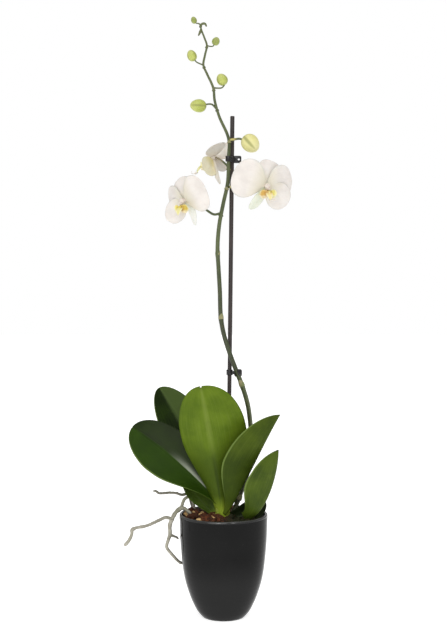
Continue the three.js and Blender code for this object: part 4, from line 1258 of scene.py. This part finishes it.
def tepal_surface(tepal, broad, place, wave_seed):
    """A rib-lined blade on the bloom's own directions; a broad one is a petal, in front."""
    angle, length, half_width, root_bend, tip_bend, own = tepal
    angle = math.radians(angle)
    outward = Vector((math.sin(angle), math.cos(angle), 0))
    sideways = Quaternion(outward, own.get("twist", 0)) @ Vector((outward.y, -outward.x, 0))
    front = sideways.cross(outward)
    root, fullness, lift = (0.14, 0.8, 0.8) if broad else (0.3, 1, -0.8)
    nip = own.get("nip", 0)

    def surface(u, v):
        along = 1 - (1 - u) ** 1.5
        rise = mixed(root, 1, math.sin(math.pi / 2 * min(1, along / PEAK)) ** fullness)
        fall = math.sqrt(max(0.002, 1 - max(0, (along - PEAK) / (1 - PEAK)) ** 2.3))
        width = half_width * rise * fall
        width *= 1 - abs(nip) * max(0, math.copysign(v, v * nip)) * (1 - along) ** 2
        bend = mixed(root_bend, tip_bend, along)
        reach = 2 + (length - 2) * along
        drift = own.get("sway", 0) * along * along * length
        wave = WAVE * math.sin(5 * along + 1.5 * v) * v * v * along
        ruffle = RUFFLE * math.sin(9 * along + 4 * v + wave_seed) * abs(v) ** 3 * along
        ribs = RIB * math.cos(15 * v) * along * (1 - along)
        keel = -KEEL * math.exp(-(v / 0.16) ** 2) * math.sin(math.pi * min(1, along * 1.1)) ** 2
        return place @ (outward * reach * math.cos(bend) + sideways * (width * v + drift)
                        + front * (lift - reach * math.sin(bend) - 0.1 * width * v * v + wave
                                   + ruffle + ribs + keel))

    return surface


def petal_fullness(u, v):
    return 0.45 + 0.55 * (1 - max(u, abs(v)) ** 4)


print("tepal shapes ready")

# %% Column and hub
COLUMN_ROUTE = [(0, 0, -4.6), (0, 0, -1), (0, 0.6, 5), (0, -0.2, 9), (0, -1.2, 11)]
COLUMN_RADII = [1.9, 3.4, 3.2, 3.3, 3.7, 4.3, 4.1, 3.2, 1.0]
COLUMN_STEPS = 44


def column_shape(place):
    """The short white column with its rounded cap, and the fleshy hub behind it."""
    pieces = [tapered(COLUMN_ROUTE, COLUMN_RADII, COLUMN_STEPS, 5, 1.0, place)]
    for side in (-1, 1):
        pieces.append(ball(20, 12, place @ Matrix.Translation((side * 1.5, -2.6, 9.3))
                           @ Matrix.Diagonal((1.7, 1.4, 2.2, 1))))
    return [coated(piece, COLUMN_WHITE) for piece in pieces]


print("column ready")

# %% The three blooms
for bloom_number, (side, (hub, facing, roll, _, tepals)) in enumerate(BLOOMS.items()):
    place = bloom_place(hub, facing, roll)
    pieces = []
    for number, tepal in enumerate(tepals):
        broad = number >= SEPALS
        rows, columns = (56, 40) if broad else (48, 28)
        surface = tepal_surface(tepal, broad, place, 2.1 * number + bloom_number)
        piece = blade(surface, rows, columns, TEPAL_THICKNESS, petal_fullness)
        look = tepal[-1].get("look")
        pieces.append(coated(piece, look or PETAL_WHITE, look or PETAL_BACK))
    bloom_piece = joined(pieces + column_shape(place))
    finished(bloom_piece, f"bloom_{side}_tepals", "petal", f"bloom_{side}")

# %% [markdown]
# ## Lips
# The sixth tepal is the lip: two side lobes that curl up beside the column, a spade-shaped
# middle lobe that ends in two thin curling tendrils, and a yellow lump between them. It is the
# only strong colour of the bloom, orange and yellow with fine reddish flecks near its root. The
# side lobes, the cheeks, are deepest at their inner edge and pale toward their lower end.

# %% Lip finishes
def lip_finish(name, rim, middle, root, cheek):
    """`cheek` puts the deep colour at the inner edge instead of the root."""
    finish = Finish(name)
    v, along = finish.chart()
    clouds = finish.grain(300.0)
    flecks = finish.grain(900.0, 2.0).ramp(0.6, 0.68)
    inward = v.ramp(0.1, -0.9) if cheek else along.ramp(0.6, 0.05)
    finish.ground(v.ramp(0.35, 1.0) if cheek else abs(v).ramp(0.35, 0.95), middle, rim)
    finish.coat(inward, root)
    finish.coat(along.ramp(0.8, 1.0) * 0.5, rim)
    if cheek:
        finish.coat(along.ramp(0.42, 0.12) * 0.75, (232, 226, 200))
    finish.coat(clouds.ramp(0.55, 0.75) * 0.3, rim)
    finish.coat(flecks * inward * 0.55, (150, 62, 34))
    return finish.surface(clouds, 0.4, 0.55, Normal=finish.raised(clouds, 0.2, 0.0005),
                          Subsurface_Weight=0.2, Subsurface_Radius=(0.003, 0.002, 0.001))


MIDDLE = 0
LIP_LOOKS = {
    "right": {MIDDLE: ("lip_mid_right", (236, 228, 190), (232, 214, 146), (196, 158, 70)),
              -1: ("lip_orange", (234, 214, 160), (210, 172, 88), (170, 124, 36)),
              1: ("lip_yellow", (236, 230, 180), (222, 210, 116), (186, 164, 56))},
    "left": {MIDDLE: ("lip_mid_left", (238, 232, 196), (232, 222, 150), (212, 196, 92)),
             -1: ("lip_bright", (238, 228, 160), (220, 204, 88), (196, 172, 48)),
             1: ("lip_amber", (234, 220, 150), (212, 186, 76), (172, 132, 40))},
    "back": {MIDDLE: ("lip_mid_back", (240, 238, 206), (228, 224, 150), (212, 204, 104)),
             -1: ("lip_cream", (240, 234, 190), (224, 214, 120), (206, 190, 84)),
             1: ("lip_pale", (240, 236, 196), (228, 220, 140), (214, 200, 90))},
}
print("lip colours ready")

# %% Lip shapes
LIP_THICKNESS = 1.0
TENDRIL = [(1.4, -16.4, 18.6), (2.6, -18.2, 21.6), (5.2, -17, 23.8), (6.4, -13.8, 22.8)]
TENDRIL_RADII = [0.8, 0.6, 0.45, 0.3]
TENDRIL_STEPS = 30


def middle_lobe(place):
    def surface(u, v):
        width = 3.4 + 2.4 * math.sin(math.pi * min(1, 0.1 + 1.05 * u)) ** 1.3 - 1.4 * u
        width *= math.sqrt(max(0.05, 1 - max(0, (u - 0.82) / 0.18) ** 2))
        front = 6 + 13 * math.sin(1.45 * u) + 0.3 * abs(v) * width
        rise = -5 - 9.5 * u - 2.4 * u * u + 0.5 * math.cos(3 * v)
        return place @ Vector((width * v, rise, front))
    return surface


def side_lobe(place, side):
    """A rounded cheek beside the column, hollow toward the front."""
    def surface(u, v):
        up = 2 * u - 1
        across = v * math.sqrt(1 - up * up / 2)
        rise = up * math.sqrt(1 - v * v / 2)
        hollow = across * across + rise * rise
        ruffle = 0.35 * math.sin(5 * math.atan2(rise, across + 1e-6)) * hollow
        return place @ Vector((side * (7 + 6.3 * across), -9.8 + 6.3 * rise,
                               8.2 + 3.4 * hollow - 1.6 * across + ruffle))
    return surface


def lip_shapes(place, looks):
    middle = blade(middle_lobe(place), 28, 22, LIP_THICKNESS, petal_fullness)
    pieces = [coated(middle, looks[MIDDLE])]
    for side in (-1, 1):
        lobe = blade(side_lobe(place, side), 24, 18, LIP_THICKNESS, petal_fullness)
        mirror = Matrix.Diagonal((side, 1, 1, 1))
        tendril = tapered(TENDRIL, TENDRIL_RADII, TENDRIL_STEPS, 2, 1.0, place @ mirror)
        lump = ball(22, 14, place @ Matrix.Translation((side * 1.2, -7.2, 9.5))
                    @ Matrix.Rotation(0.28, 4, "X") @ Matrix.Diagonal((1.7, 2.6, 4.4, 1)))
        pieces += [coated(lobe, looks[side]), coated(tendril, PETAL_WHITE),
                   coated(lump, looks[side])]
    return pieces


for side, (hub, facing, roll, lip_reach, _) in BLOOMS.items():
    place = bloom_place(hub, facing, roll) @ Matrix.Diagonal((1, 1, lip_reach, 1))
    looks = {part: lip_finish(*look, part != MIDDLE) for part, look in LIP_LOOKS[side].items()}
    finished(joined(lip_shapes(place, looks)), f"lip_{side}_lobes", "lip", f"lip_{side}")

# %% [markdown]
# ## Stake
# The spike is tied to a thin rod with a purplish brown plastic skin. The skin is drawn on, so it
# has fine lines along its length, and it is cut square at the top with a barely rounded edge.

# %% Stake
STAKE_RADIUS = 3.2
STAKE_TOP = Vector((13.2, 8, 744.4))
STAKE_BOTTOM = Vector((5.9, 8, 70))


def stake_finish():
    finish = Finish("stake_plastic")
    clouds = finish.grain(30.0, 4.0)
    lines = finish.lines((900.0, 900.0, 12.0), 3.0)
    finish.ground(clouds.ramp(0.3, 0.7), (38, 30, 28), (52, 42, 39))
    finish.coat(lines.ramp(0.5, 0.75) * 0.4, (38, 29, 30))
    return finish.surface(clouds, 0.4, 0.56, Normal=finish.raised(lines, 0.3, 0.0004))


def stake_shape():
    """Many short steps along the rod, and three close ones at each rounded end."""
    shares = [0, 0.0004, 0.0012] + [k / 30 for k in range(1, 30)] + [0.9988, 0.9996, 1]
    widths = [0.86, 0.96, 1] + [1] * 29 + [1, 0.96, 0.86]
    return strand([STAKE_BOTTOM + (STAKE_TOP - STAKE_BOTTOM) * share for share in shares],
                  [STAKE_RADIUS * width for width in widths], 10)


finished(coated(stake_shape(), stake_finish()), "stake_rod", "stake_plastic", "stake")

# %% [markdown]
# ## Clips
# Two black moulded clips hold the stem to the stake. Each has a collar round the stake, a loop
# round the stem, a bar between them and two rounded ears that open it when they are squeezed.
# The lower clip's loop is open at the front.

# %% Clip measures
CLIP_WALL = 1.4
CLIP_HEIGHT = 8
CLIP_GAP = 0.3
BAR_HEIGHT = CLIP_HEIGHT * 0.6
EAR_HEIGHT = 10.5
EAR_SPREAD = 1.9
EAR_ROUNDING = 2.4
CLIPS = {
    "clip_upper": {"level": 680.6, "stem": (7.4, -1, 680.6), "stem_axis": (0, 0, 1),
                   "stem_radius": 2.8, "ear": (15, 26.5, 8), "open": 0, "ear_hole": 1.6},
    "clip_lower": {"level": 364, "stem": (20.2, -2, 364), "stem_axis": (-0.36, -0.17, 0.93),
                   "stem_radius": 3.5, "ear": (22, 27.5, 1), "open": 5, "ear_hole": 0},
}
print("clips measured:", len(CLIPS))

# %% Clip shapes
def softened(piece, centre, turn):
    """Round the edges of a moulded piece and put it in its place, in mm."""
    applied(piece, "BEVEL", width=0.0003, segments=3, limit_method="ANGLE")
    piece.data.transform(Matrix.Translation(Vector(centre) * MM) @ turn)
    return piece


def clip_collar(centre, axis, radius, opening=0):
    """A ring of moulded plastic round a stem, open at the front if it has an opening."""
    outer = radius + CLIP_GAP + CLIP_WALL
    bpy.ops.mesh.primitive_cylinder_add(vertices=48, radius=outer * MM, depth=CLIP_HEIGHT * MM,
                                        end_fill_type="NOTHING")
    ring = bpy.context.object
    if opening:
        edit_only(ring, "FACE", lambda face: (face.center.y < 0
                                              and abs(face.center.x + 0.001) < opening * MM / 2))
        bpy.ops.mesh.delete(type="FACE")
        editing(False)
    applied(ring, "SOLIDIFY", thickness=CLIP_WALL * MM, offset=-1)
    turn = Vector((0, 0, 1)).rotation_difference(Vector(axis).normalized()).to_matrix().to_4x4()
    return softened(ring, centre, turn)


def clip_block(centre, size, turn=0.0, corner=0):
    """A small moulded block with soft edges; `corner` rounds the two corners at its far end."""
    bpy.ops.mesh.primitive_cube_add(size=1)
    block = bpy.context.object
    editing(True)
    bpy.ops.transform.resize(value=[length * MM for length in size])
    editing(False)
    if corner:
        corners = block.data.vertices

        def outer_corner(edge):
            start, end = (corners[k].co for k in edge.vertices)
            return abs(start.y - end.y) > 1e-6 and start.x > 0

        edit_only(block, "EDGE", outer_corner)
        bpy.ops.mesh.bevel(offset=corner * MM, segments=6, affect="EDGES")
        editing(False)
    return softened(block, centre, Matrix.Rotation(turn, 4, "Z"))


def bored(plate, centre, radius):
    """A round hole through a plate, along Y."""
    bpy.ops.mesh.primitive_cylinder_add(vertices=32, radius=radius * MM, depth=0.01,
                                        location=Vector(centre) * MM, rotation=(math.pi / 2, 0, 0))
    drill = bpy.context.object
    applied(plate, "BOOLEAN", operation="DIFFERENCE", object=drill)
    bpy.data.objects.remove(drill)


print("clip shapes ready")

# %% Two clips
def clip_shapes(clip):
    level = clip["level"]
    share = (level - STAKE_BOTTOM.z) / (STAKE_TOP.z - STAKE_BOTTOM.z)
    at_stake = STAKE_BOTTOM.lerp(STAKE_TOP, share)
    at_stem = Vector(clip["stem"])
    reach = at_stem - at_stake
    left, right, depth = clip["ear"]
    pieces = [
        clip_collar(at_stake, (0, 0, 1), STAKE_RADIUS),
        clip_collar(at_stem, clip["stem_axis"], clip["stem_radius"], clip["open"]),
        clip_block((left + 1.6, depth, level), (4, 2 * EAR_SPREAD + CLIP_WALL, BAR_HEIGHT))]
    if reach.length > STAKE_RADIUS + clip["stem_radius"] + 3:
        pieces.append(clip_block((at_stake + at_stem) / 2, (reach.length - 8, 3, BAR_HEIGHT),
                                 math.atan2(reach.y, reach.x)))
    for side in (-1, 1):
        centre = ((left + right) / 2, depth + side * EAR_SPREAD, level)
        ear = clip_block(centre, (right - left, CLIP_WALL, EAR_HEIGHT), 0.0, EAR_ROUNDING)
        if clip["ear_hole"]:
            bored(ear, (right - 3.8, centre[1], level), clip["ear_hole"])
        pieces.append(ear)
    return pieces


clip_plastic = moulded_finish("clip_plastic", (22, 20, 21), (40, 37, 38), 0.24)
for clip_name, clip in CLIPS.items():
    moulding = coated(joined(clip_shapes(clip)), clip_plastic)
    bpy.context.view_layer.objects.active = moulding
    moulding.select_set(True)
    bpy.ops.object.shade_smooth_by_angle(angle=math.radians(35))
    finished(moulding, clip_name + "_moulding", "clip_plastic", clip_name)

# %% [markdown]
# ## End
# The dressed plant has to stay inside the measured one's box.


print("all pieces made")
